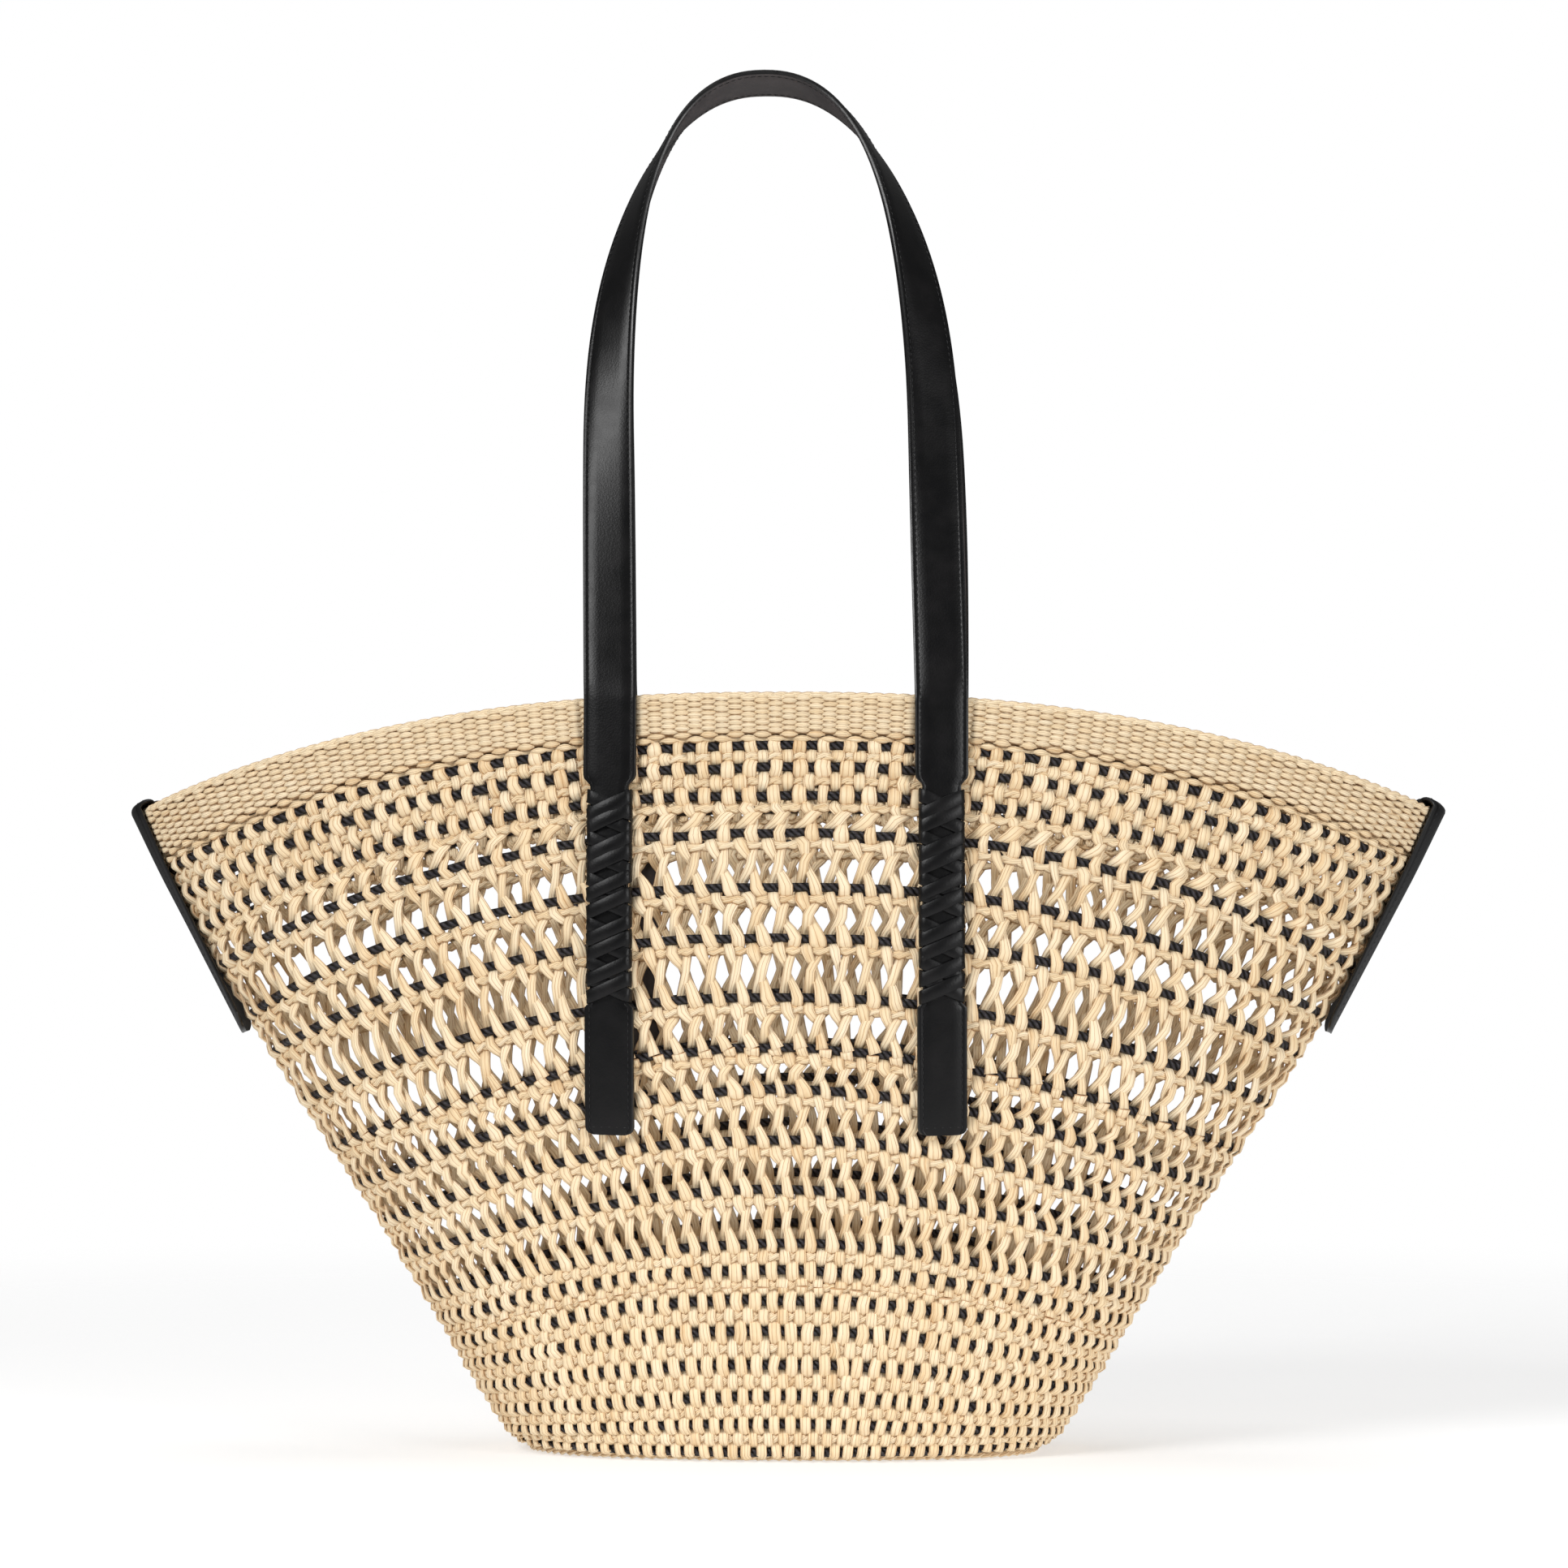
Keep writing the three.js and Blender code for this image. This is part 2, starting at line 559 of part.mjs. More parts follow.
// Leather tab over the right end of the rim: a flap inside, a bend over the top and a leaf outside.
function sideTab() {
  const out = TAB_SEAT + TAB_THICKNESS / 2;
  const inside = -RIM_THICKNESS - out;
  const hugLevel = 1 - TAB_HUG_RUN / WALL_RISE;
  const downward = leafDirection(offsetPoint(0, hugLevel, out), hugLevel);
  const flapLevel = 1 - TAB_FLAP_RUN / WALL_RISE;
  const half = TAB_WIDTH / 2;
  // Stations along the tab, each a place for a given y, the half width there and how far along it lies
  const stations = [
    { width: half * 0.8, at: (y) => offsetPoint(endAngle(y, flapLevel), flapLevel, inside) },
    { width: half, at: (y) => offsetPoint(endAngle(y, flapLevel), (flapLevel * 3 + 1) / 4, inside) },
    { width: half, at: (y) => offsetPoint(endAngle(y, 1), 1, inside) },
  ];
  const bends = 5;
  for (let k = 1; k < bends; k++) {
    const turn = (Math.PI * k) / bends;
    stations.push({
      width: half,
      at: (y) => {
        const normal = faceNormal(endAngle(y, 1), 1);
        const rise = new THREE.Vector3(0, 0, 1).addScaledVector(normal, -normal.z).normalize();
        return offsetPoint(endAngle(y, 1), 1, -RIM_THICKNESS / 2)
          .addScaledVector(normal, -Math.cos(turn) * (RIM_THICKNESS / 2 + out))
          .addScaledVector(rise, Math.sin(turn) * out);
      },
    });
  }
  const hugs = 3;
  for (let k = 0; k <= hugs; k++) {
    const level = 1 - (k / hugs) * (1 - hugLevel);
    stations.push({ width: half, at: (y) => offsetPoint(endAngle(y, level), level, out) });
  }
  const leafRows = [
    { share: 0.25, width: half },
    { share: 0.5, width: half },
    { share: 0.75, width: half },
    { share: 1 - TAB_END_ROUNDING / TAB_LEAF_RUN, width: half },
    { share: 1 - (0.4 * TAB_END_ROUNDING) / TAB_LEAF_RUN, width: half * 0.87 },
    { share: 1 - (0.1 * TAB_END_ROUNDING) / TAB_LEAF_RUN, width: half * 0.62 },
    { share: 1, width: half * 0.35 },
  ];
  leafRows.forEach(({ share, width }) =>
    stations.push({
      width,
      at: (y) => {
        const root = offsetPoint(endAngle(y, hugLevel), hugLevel, out);
        const bow = offsetPoint(0, hugLevel, out).x - root.x;
        root.x += bow * share * TAB_LEAF_FLATTENING;
        return root.addScaledVector(downward, share * TAB_LEAF_RUN);
      },
    }),
  );
  const columns = [-1, -0.55, 0, 0.55, 1];
  const grid = stations.map(({ width, at }) => columns.map((share) => at(share * width)));
  const rings = grid.map((row, k) => {
    const before = grid[Math.max(0, k - 1)];
    const after = grid[Math.min(grid.length - 1, k + 1)];
    const normals = row.map((point, i) => {
      const side = row[Math.min(row.length - 1, i + 1)].clone().sub(row[Math.max(0, i - 1)]);
      return after[i].clone().sub(before[i]).cross(side).normalize();
    });
    const t = TAB_THICKNESS / 2;
    const face = (sign) =>
      row.map((point, i) => {
        const rim = Math.abs(columns[i]) === 1 ? t - TAB_EDGE_ROUNDING : t;
        return point.clone().addScaledVector(normals[i], sign * rim);
      });
    return [...face(-1), ...face(1).toReversed()];
  });
  return loft(rings);
}

const raffia = () => new THREE.MeshStandardMaterial({ color: 0xe3c595, roughness: 0.75, metalness: 0 });
const leather = () => new THREE.MeshStandardMaterial({ color: 0x18171a, roughness: 0.42, metalness: 0 });

const bag = new THREE.Group();

// Adds a piece to the bag as a named mesh of its own.
function add(name, geometry, material, parent = bag) {
  const mesh = new THREE.Mesh(geometry, material);
  mesh.name = name;
  parent.add(mesh);
  return mesh;
}

add("basket_base", basketBase(), raffia());
add("basket_wall", basketWall(), raffia());
add("rim_band", rimBand(), raffia());
for (const { place, turn, loop } of [
  {
    place: "front",
    turn: 0,
    loop: { lean: 0, bow: 0, sway: -LOOP_SWAY, lift: 0, twist: CROWN_TWIST, power: TWIST_POWER },
  },
  {
    place: "back",
    turn: Math.PI,
    loop: {
      lean: BACK_LEG_LEAN,
      bow: BACK_BOW,
      sway: LOOP_SWAY,
      lift: BACK_LIFT,
      twist: BACK_TWIST,
      power: BACK_TWIST_POWER,
    },
  },
]) {
  const side = new THREE.Group();
  side.rotation.z = turn;
  bag.add(side);
  add(`${place}_strap`, strap(loop), leather(), side);
  add(`${place}_lacing_a`, lacing(1), leather(), side);
  add(`${place}_lacing_b`, lacing(-1), leather(), side);
}
add("right_tab", sideTab(), leather());
add("left_tab", sideTab(), leather()).rotation.z = Math.PI;

export default bag;
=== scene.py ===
"""Straw basket bag: a raffia weave with black cord rows, laced leather straps and leather tabs on the rim."""

import logging
import math
from dataclasses import dataclass, field, replace
from enum import Enum

import bmesh
import bpy
import numpy as np
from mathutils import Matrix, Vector


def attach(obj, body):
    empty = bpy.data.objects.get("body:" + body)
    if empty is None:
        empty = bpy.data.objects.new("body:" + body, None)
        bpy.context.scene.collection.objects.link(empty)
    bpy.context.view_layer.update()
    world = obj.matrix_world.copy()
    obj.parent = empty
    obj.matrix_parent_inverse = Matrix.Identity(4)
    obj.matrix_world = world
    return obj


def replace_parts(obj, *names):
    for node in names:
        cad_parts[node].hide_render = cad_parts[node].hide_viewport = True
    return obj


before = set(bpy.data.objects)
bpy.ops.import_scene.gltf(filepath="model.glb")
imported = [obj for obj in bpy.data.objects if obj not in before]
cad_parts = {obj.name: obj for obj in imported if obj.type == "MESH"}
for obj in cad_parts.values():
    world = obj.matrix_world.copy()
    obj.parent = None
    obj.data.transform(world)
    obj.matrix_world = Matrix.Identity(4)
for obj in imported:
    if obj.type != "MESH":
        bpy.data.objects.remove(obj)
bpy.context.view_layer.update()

log = logging.getLogger("basket")

MM = 0.001
TAU = 2 * math.pi
SEED = 41
RAFFIA_SLOT = "raffia"
LEATHER_SLOT = "leather"
BODY = "root"
ROUND = 2.0  # exponent of a round section
ROUND_CORD = 0.94  # thickness of a laid cord, of its width
CORNER_CUT = 0.29  # what a rounding leaves out at 45 degrees, of its radius


class Side(Enum):
    """Which face of the bag a piece belongs to."""

    FRONT = 1
    BACK = -1


class Draws(Enum):
    """Which random numbers a piece takes."""

    ROWS = 0
    UPPER_WEAVE = 1
    CORDS = 3
    WEFTS = 4
    RIM_WEFTS = 5
    RIM_EDGE = 6
    BASE = 7
    THONGS = 8
    LOWER_WEAVE = 20

    def start(self, step: int = 0) -> np.random.Generator:
        """Starts the piece's random numbers, or those of a further step of it."""
        return np.random.default_rng(SEED + self.value + step)


def unit(vectors: np.ndarray) -> np.ndarray:
    """Scales vectors to length one."""
    return vectors / np.maximum(np.linalg.norm(vectors, axis=-1, keepdims=True), 1e-12)


def oval(angle: np.ndarray, squareness: np.ndarray | float) -> tuple[np.ndarray, np.ndarray]:
    """Follows an oval of half width and half depth 1.

    Args:
        angle: Angles round it.
        squareness: Its exponent; 2 is round.

    Returns:
        Places across and along at these angles.
    """
    power = 2 / squareness
    cosine, sine = np.cos(angle), np.sin(angle)
    return np.sign(cosine) * np.abs(cosine) ** power, np.sign(sine) * np.abs(sine) ** power


def lengths(line: np.ndarray) -> np.ndarray:
    """Gives the length along a line at each of its points."""
    return np.concatenate([[0], np.cumsum(np.linalg.norm(np.diff(line, axis=0), axis=1))])


# Surface of the basket


@dataclass
class BasketForm:
    """Outer face of the basket, as sections from its foot to the top of its rim.

    Every section gives its level, a share of the wall's rise; its width and depth, shares of the mouth's; its
    drop towards the ends, a share of the end drop; the exponent of its oval; and the exponent of its sag.
    """

    mouth_width: float = 610 * MM
    mouth_depth: float = 176 * MM
    end_drop: float = 51.4 * MM
    foot: float = 4.7 * MM
    rise: float = 343.3 * MM
    columns: int = 1440
    rows: int = 260
    lowest: float = -0.015
    highest: float = 1.012
    normal_step: float = 1e-3
    level_steps: int = 12
    sections: np.ndarray = field(
        default_factory=lambda: np.array(
            [
                (0.0, 0.408, 0.67, 0.0, 2.5, 2.0),
                (0.036, 0.426, 0.716, 0.156, 2.5, 2.0),
                (0.116, 0.469, 0.79, 0.315, 2.4, 2.1),
                (0.202, 0.508, 0.841, 0.51, 2.3, 2.1),
                (0.277, 0.552, 0.898, 0.59, 2.2, 2.0),
                (0.415, 0.62, 0.977, 0.85, 2.1, 1.9),
                (0.481, 0.659, 1.011, 0.947, 2.1, 1.8),
                (0.6, 0.744, 1.045, 0.99, 2.05, 2.1),
                (0.677, 0.792, 1.057, 1.06, 2.0, 2.4),
                (0.744, 0.828, 1.057, 1.165, 2.0, 2.4),
                (0.814, 0.874, 1.045, 1.196, 1.95, 2.4),
                (0.863, 0.905, 1.034, 1.187, 1.9, 2.4),
                (0.929, 0.954, 1.017, 1.08, 1.9, 2.4),
                (1.0, 1.0, 1.0, 1.0, 1.85, 2.4),
            ]
        )
    )

    def __post_init__(self) -> None:
        """Charts the face by its share of the way round and its level."""
        levels = np.linspace(self.lowest, self.highest, self.rows)
        angles = np.linspace(-math.pi / 2, 3 * math.pi / 2, 4 * self.columns + 1)
        points = self.face_point(angles[None, :], levels[:, None])
        steps = np.linalg.norm(np.diff(points, axis=1), axis=2)
        run = np.concatenate([np.zeros((self.rows, 1)), np.cumsum(steps, axis=1)], axis=1)
        self.girths = run[:, -1]
        even = np.linspace(0, 1, self.columns + 1)[:-1]
        chart = np.empty((self.rows, self.columns, 3))
        for row in range(self.rows):
            share = run[row] / run[row, -1]
            for axis in range(3):
                chart[row, :, axis] = np.interp(even, share, points[row, :, axis])
        along = np.roll(chart, -1, axis=1) - np.roll(chart, 1, axis=1)
        up = np.gradient(chart, axis=0)
        self.chart = np.concatenate([chart, unit(np.cross(along, up))], axis=2)

    def section(self, column: int, level: np.ndarray) -> np.ndarray:
        """Reads one column of the sections on a smooth curve.

        Args:
            column: Which column of the sections to read.
            level: Levels to read it at.

        Returns:
            The column's values, in the shape of the levels.
        """
        rows = self.sections
        at = rows[:, 0]
        values = rows[:, column]
        before = np.maximum(np.arange(len(at)) - 1, 0)
        after = np.minimum(np.arange(len(at)) + 1, len(at) - 1)
        slopes = (values[after] - values[before]) / (at[after] - at[before])
        k = np.clip(np.searchsorted(at, level), 1, len(at) - 1)
        span = at[k] - at[k - 1]
        t = (level - at[k - 1]) / span
        t2 = t * t
        t3 = t2 * t
        return (
            (2 * t3 - 3 * t2 + 1) * values[k - 1]
            + (t3 - 2 * t2 + t) * span * slopes[k - 1]
            + (3 * t2 - 2 * t3) * values[k]
            + (t3 - t2) * span * slopes[k]
        )

    def face_point(self, angle: np.ndarray, level: np.ndarray) -> np.ndarray:
        """Finds points of the outer face.

        Args:
            angle: Angles round the oval.
            level: Levels, of a shape that fits the angles'.

        Returns:
            The points, with their three coordinates last.
        """
        angle, level = np.broadcast_arrays(np.asarray(angle, float), np.asarray(level, float))
        across, along = oval(angle, self.section(4, level))
        drop = self.end_drop * self.section(3, level) * np.abs(across) ** self.section(5, level)
        x = self.mouth_width / 2 * self.section(1, level) * across
        y = self.mouth_depth / 2 * self.section(2, level) * along
        return np.stack([x, y, self.foot + self.rise * level - drop], axis=-1)

    def face_normal(self, angle: float, level: float) -> np.ndarray:
        """Finds the outward normal of the outer face.

        Args:
            angle: Angle round the oval.
            level: Level of the point.

        Returns:
            The unit normal.
        """
        step = self.normal_step
        above = self.face_point(angle, min(1.0, level + step))
        below = self.face_point(angle, max(0.0, level - step))
        along = self.face_point(angle + step, level) - self.face_point(angle - step, level)
        return unit(np.cross(along, above - below))

    def offset_point(self, angle: float, level: float, distance: float) -> np.ndarray:
        """Finds the point at a distance outside the outer face."""
        return self.face_point(angle, level) + distance * self.face_normal(angle, level)

    def front_angle(self, x: float, level: float) -> float:
        """Finds the angle at which the right half of the front face has this x."""
        share = abs(x) / (self.mouth_width / 2 * float(self.section(1, np.array(level))))
        return -math.acos(min(1.0, share) ** (float(self.section(4, np.array(level))) / 2))

    def end_angle(self, y: float, level: float) -> float:
        """Finds the angle at which the right end of the face has this y."""
        share = abs(y) / (self.mouth_depth / 2 * float(self.section(2, np.array(level))))
        return math.copysign(math.asin(share ** (float(self.section(4, np.array(level))) / 2)), y)

    def front_level(self, x: float, height: float) -> float:
        """Finds the level at which the front face has this height at this x."""
        level = (height - self.foot) / self.rise
        for _ in range(self.level_steps):
            level += (height - self.face_point(self.front_angle(x, level), level)[2]) / self.rise
        return level

    def girth(self, level: float) -> float:
        """Gives the length round the face at a level."""
        return float(np.interp(level, np.linspace(self.lowest, self.highest, self.rows), self.girths))

    def place(self, turn: np.ndarray, level: np.ndarray, height: np.ndarray) -> tuple[np.ndarray, np.ndarray]:
        """Places points on or near the face.

        Args:
            turn: Shares of the way round from the middle of the front.
            level: Levels of the points.
            height: Distances outside the outer face.

        Returns:
            The points and the face's normals there.
        """
        turn, level, height = np.broadcast_arrays(turn, level, height)
        column = (turn % 1.0) * self.columns
        left = np.floor(column).astype(int)
        across = (column - left)[..., None]
        left %= self.columns
        right = (left + 1) % self.columns
        row = np.clip((level - self.lowest) / (self.highest - self.lowest), 0, 1) * (self.rows - 1)
        low = np.minimum(np.floor(row).astype(int), self.rows - 2)
        up = (row - low)[..., None]
        bottom = self.chart[low, left] * (1 - across) + self.chart[low, right] * across
        top = self.chart[low + 1, left] * (1 - across) + self.chart[low + 1, right] * across
        found = bottom * (1 - up) + top * up
        normals = unit(found[..., 3:])
        return found[..., :3] + height[..., None] * normals, normals


# Meshes


def section_outline(sides: int, squareness: float = 3.6) -> np.ndarray:
    """Draws the outline of a flattened strand.

    Args:
        sides: Number of points.
        squareness: Exponent of the oval; 2 is round.

    Returns:
        Points of the outline, for a width and thickness of 2.
    """
    return np.stack(oval(TAU * np.arange(sides) / sides, squareness), axis=1)


def placed(data: bpy.types.ID) -> bpy.types.Object:
    """Puts a mesh, a light or a camera in the scene, in an object of its name."""
    thing = bpy.data.objects.new(data.name, data)
    bpy.context.scene.collection.objects.link(thing)
    return thing


class StrandBatch:
    """Many strands, swept from arrays of stations and joined in one mesh."""

    def __init__(self, outline: np.ndarray) -> None:
        """Starts an empty batch whose strands have this outline."""
        self.outline = outline
        self.points: list[np.ndarray] = []
        self.quads: list[np.ndarray] = []
        self.caps: list[np.ndarray] = []
        self.quad_uvs: list[np.ndarray] = []
        self.cap_uvs: list[np.ndarray] = []
        self.tones: list[np.ndarray] = []
        self.count = 0

    def add(
        self,
        centres: np.ndarray,
        normals: np.ndarray,
        widths: np.ndarray,
        thicknesses: np.ndarray,
        tones: np.ndarray,
        closed: bool = False,
    ) -> None:
        """Adds strands with the same number of stations.

        Args:
            centres: Middles of the stations, by strand, station and coordinate.
            normals: Directions that the strands' flat faces look in, in the same shape.
            widths: Full widths, by strand and station.
            thicknesses: Full thicknesses, by strand and station.
            tones: One random number for each strand.
            closed: Whether each strand is a hoop.
        """
        if closed:
            ahead = np.roll(centres, -1, axis=1) - np.roll(centres, 1, axis=1)
        else:
            ahead = np.gradient(centres, axis=1)
        ahead = unit(ahead)
        side = unit(np.cross(ahead, normals))
        up = np.cross(side, ahead)
        strands, stations = widths.shape
        points = len(self.outline)
        across = self.outline[:, 0] * widths[..., None] / 2
        above = self.outline[:, 1] * thicknesses[..., None] / 2
        rings = centres[:, :, None] + side[:, :, None] * across[..., None] + up[:, :, None] * above[..., None]
        index = self.count + np.arange(strands * stations * points).reshape(strands, stations, points)
        following = np.roll(index, -1, axis=1) if closed else index[:, 1:]
        own = index if closed else index[:, :-1]
        quads = np.stack([own, following, np.roll(following, -1, axis=2), np.roll(own, -1, axis=2)], axis=-1)
        shown = centres if not closed else np.concatenate([centres, centres[:, :1]], axis=1)
        run = np.linalg.norm(np.diff(shown, axis=1), axis=2)
        run = np.concatenate([np.zeros((strands, 1)), np.cumsum(run, axis=1)], axis=1)
        u = np.arange(points + 1) / points
        here = np.broadcast_to(run[:, :-1, None], own.shape)
        then = np.broadcast_to(run[:, 1:, None], own.shape)
        u_low = np.broadcast_to(u[:-1], own.shape)
        u_high = np.broadcast_to(u[1:], own.shape)
        corners = [(u_low, here), (u_low, then), (u_high, then), (u_high, here)]
        uvs = np.stack([np.stack(corner, axis=-1) for corner in corners], axis=-2)
        self.points.append(rings.reshape(-1, 3))
        self.quads.append(quads.reshape(-1, 4))
        self.quad_uvs.append(uvs.reshape(-1, 2))
        self.tones.append(np.repeat(tones, stations * points))
        if not closed:
            ends = np.concatenate([index[:, 0], index[:, -1, ::-1]])
            middle = np.stack([np.full(ends.shape, 0.5), np.zeros(ends.shape)], axis=-1)
            self.caps.append(ends)
            self.cap_uvs.append(middle.reshape(-1, 2))
        self.count += strands * stations * points

    def hoop(
        self,
        centres: np.ndarray,
        normals: np.ndarray,
        width: np.ndarray | float,
        thickness: float,
        tone: np.ndarray,
    ) -> None:
        """Adds one closed strand.

        Args:
            centres: Middles of the stations.
            normals: Directions that the strand's flat face looks in.
            width: Full width, at every station or the same at all.
            thickness: Full thickness.
            tone: A random number.
        """
        stations = (1, len(centres))
        widths = np.broadcast_to(width, stations)
        self.add(centres[None], normals[None], widths, np.full(stations, thickness), tone, closed=True)

    def build(self, name: str) -> bpy.types.Object:
        """Makes the joined mesh.

        Args:
            name: Name of the piece.

        Returns:
            The new object, with a UV map of turn round the strand and metres along it, and each tone.
        """
        faces = [face for part in [*self.quads, *self.caps] for face in part.tolist()]
        mesh = bpy.data.meshes.new(name)
        mesh.from_pydata(np.concatenate(self.points), [], faces)
        uvs = mesh.uv_layers.new(name="strand")
        uvs.data.foreach_set("uv", np.concatenate([*self.quad_uvs, *self.cap_uvs]).astype(np.float32).ravel())
        tone = mesh.attributes.new("tone", "FLOAT", "POINT")
        tone.data.foreach_set("value", np.concatenate(self.tones).astype(np.float32))
        mesh.shade_smooth()
        return placed(mesh)


class Loft:
    """Closed skin through rings of points, made by extruding one ring of edges after another."""

    def __init__(self) -> None:
        """Starts with no skins."""
        self.mesh = bmesh.new()
        self.uv = self.mesh.loops.layers.uv.new("skin")

    def add(
        self,
        rings: list[np.ndarray],
        edge_slots: tuple[int, ...] = (),
        inner_slots: tuple[int, ...] = (),
    ) -> None:
        """Adds a skin that is closed at both ends.

        Args:
            rings: Rings of equal length, from one end to the other.
            edge_slots: Places in a ring whose faces take the second material.
            inner_slots: Places in a ring whose faces take the third material.
        """
        bm = self.mesh
        size = len(rings[0])
        layer = [bm.verts.new(point) for point in rings[0]]
        edges = [bm.edges.new((layer[i], layer[(i + 1) % size])) for i in range(size)]
        first_edges = edges
        place = {vertex: (0.0, i) for i, vertex in enumerate(layer)}
        around = lengths(np.vstack([rings[0], rings[0][:1]]))
        run = 0.0
        faces: list[bmesh.types.BMFace] = []
        for before, ring in zip(rings, rings[1:]):
            made = bmesh.ops.extrude_edge_only(bm, edges=edges)["geom"]
            fresh = {part for part in made if isinstance(part, bmesh.types.BMVert)}
            faces += [part for part in made if isinstance(part, bmesh.types.BMFace)]
            beside = [[edge.other_vert(vertex) for edge in vertex.link_edges] for vertex in layer]
            follower = [next(vertex for vertex in near if vertex in fresh) for near in beside]
            run += float(np.linalg.norm(ring.mean(axis=0) - before.mean(axis=0)))
            for i, (vertex, point) in enumerate(zip(follower, ring)):
                vertex.co = point
                place[vertex] = (run, i)
            layer = follower
            edges = [part for part in made if isinstance(part, bmesh.types.BMEdge)]
            edges = [edge for edge in edges if edge.verts[0] in fresh and edge.verts[1] in fresh]
        caps = [bmesh.ops.contextual_create(bm, geom=list(ends))["faces"][0] for ends in (first_edges, edges)]
        bmesh.ops.recalc_face_normals(bm, faces=[*faces, *caps])
        for face in faces:
            slots = {place[vertex][1] for vertex in face.verts}
            wraps = slots == {0, size - 1}
            low = size - 1 if wraps else min(slots)
            face.material_index = 1 if low in edge_slots else 2 if low in inner_slots else 0
            for loop in face.loops:
                along, i = place[loop.vert]
                loop[self.uv].uv = (around[size] if wraps and i == 0 else around[i], along)

    def build(self, name: str, crease: float = 38.0) -> bpy.types.Object:
        """Makes the mesh, smooth but for creases.

        Args:
            name: Name of the piece.
            crease: Angle between faces, in degrees, above which an edge stays sharp.

        Returns:
            The new object.
        """
        for edge in self.mesh.edges:
            edge.smooth = edge.calc_face_angle(0.0) < math.radians(crease)
        for face in self.mesh.faces:
            face.smooth = True
        mesh = bpy.data.meshes.new(name)
        self.mesh.to_mesh(mesh)
        self.mesh.free()
        return placed(mesh)


# Shaders


@dataclass
class Value:
    """A shader socket that takes part in Python arithmetic."""

    shader: "Shader"
    socket: bpy.types.NodeSocket

    def _math(self, operation: str, *terms: "Value | float") -> "Value":
        """Adds one Math node over these terms."""
        return self.shader.node("ShaderNodeMath", {"operation": operation}, dict(enumerate(terms)))

    def __add__(self, other: "Value | float") -> "Value":
        """Adds another term."""
        return self._math("ADD", self, other)

    def __radd__(self, other: float) -> "Value":
        """Adds this to a number."""
        return self._math("ADD", other, self)

    def __sub__(self, other: "Value | float") -> "Value":
        """Takes another term away."""
        return self._math("SUBTRACT", self, other)

    def __rsub__(self, other: float) -> "Value":
        """Takes this away from a number."""
        return self._math("SUBTRACT", other, self)

    def __mul__(self, other: "Value | float") -> "Value":
        """Multiplies by another term."""
        return self._math("MULTIPLY", self, other)

    def __rmul__(self, other: float) -> "Value":
        """Multiplies a number by this."""
        return self._math("MULTIPLY", other, self)

    def __pow__(self, other: "Value | float") -> "Value":
        """Raises to a power."""
        return self._math("POWER", self, other)

    def sine(self) -> "Value":
        """Takes the sine."""
        return self._math("SINE", self)

    def size(self) -> "Value":
        """Takes the absolute value."""
        return self._math("ABSOLUTE", self)

    def between(self, low: float, high: float) -> "Value":
        """Maps a range smoothly to 0 to 1."""
        return self.shader.node(
            "ShaderNodeMapRange",
            {"interpolation_type": "SMOOTHSTEP"},
            {"Value": self, "From Min": low, "From Max": high},
        )


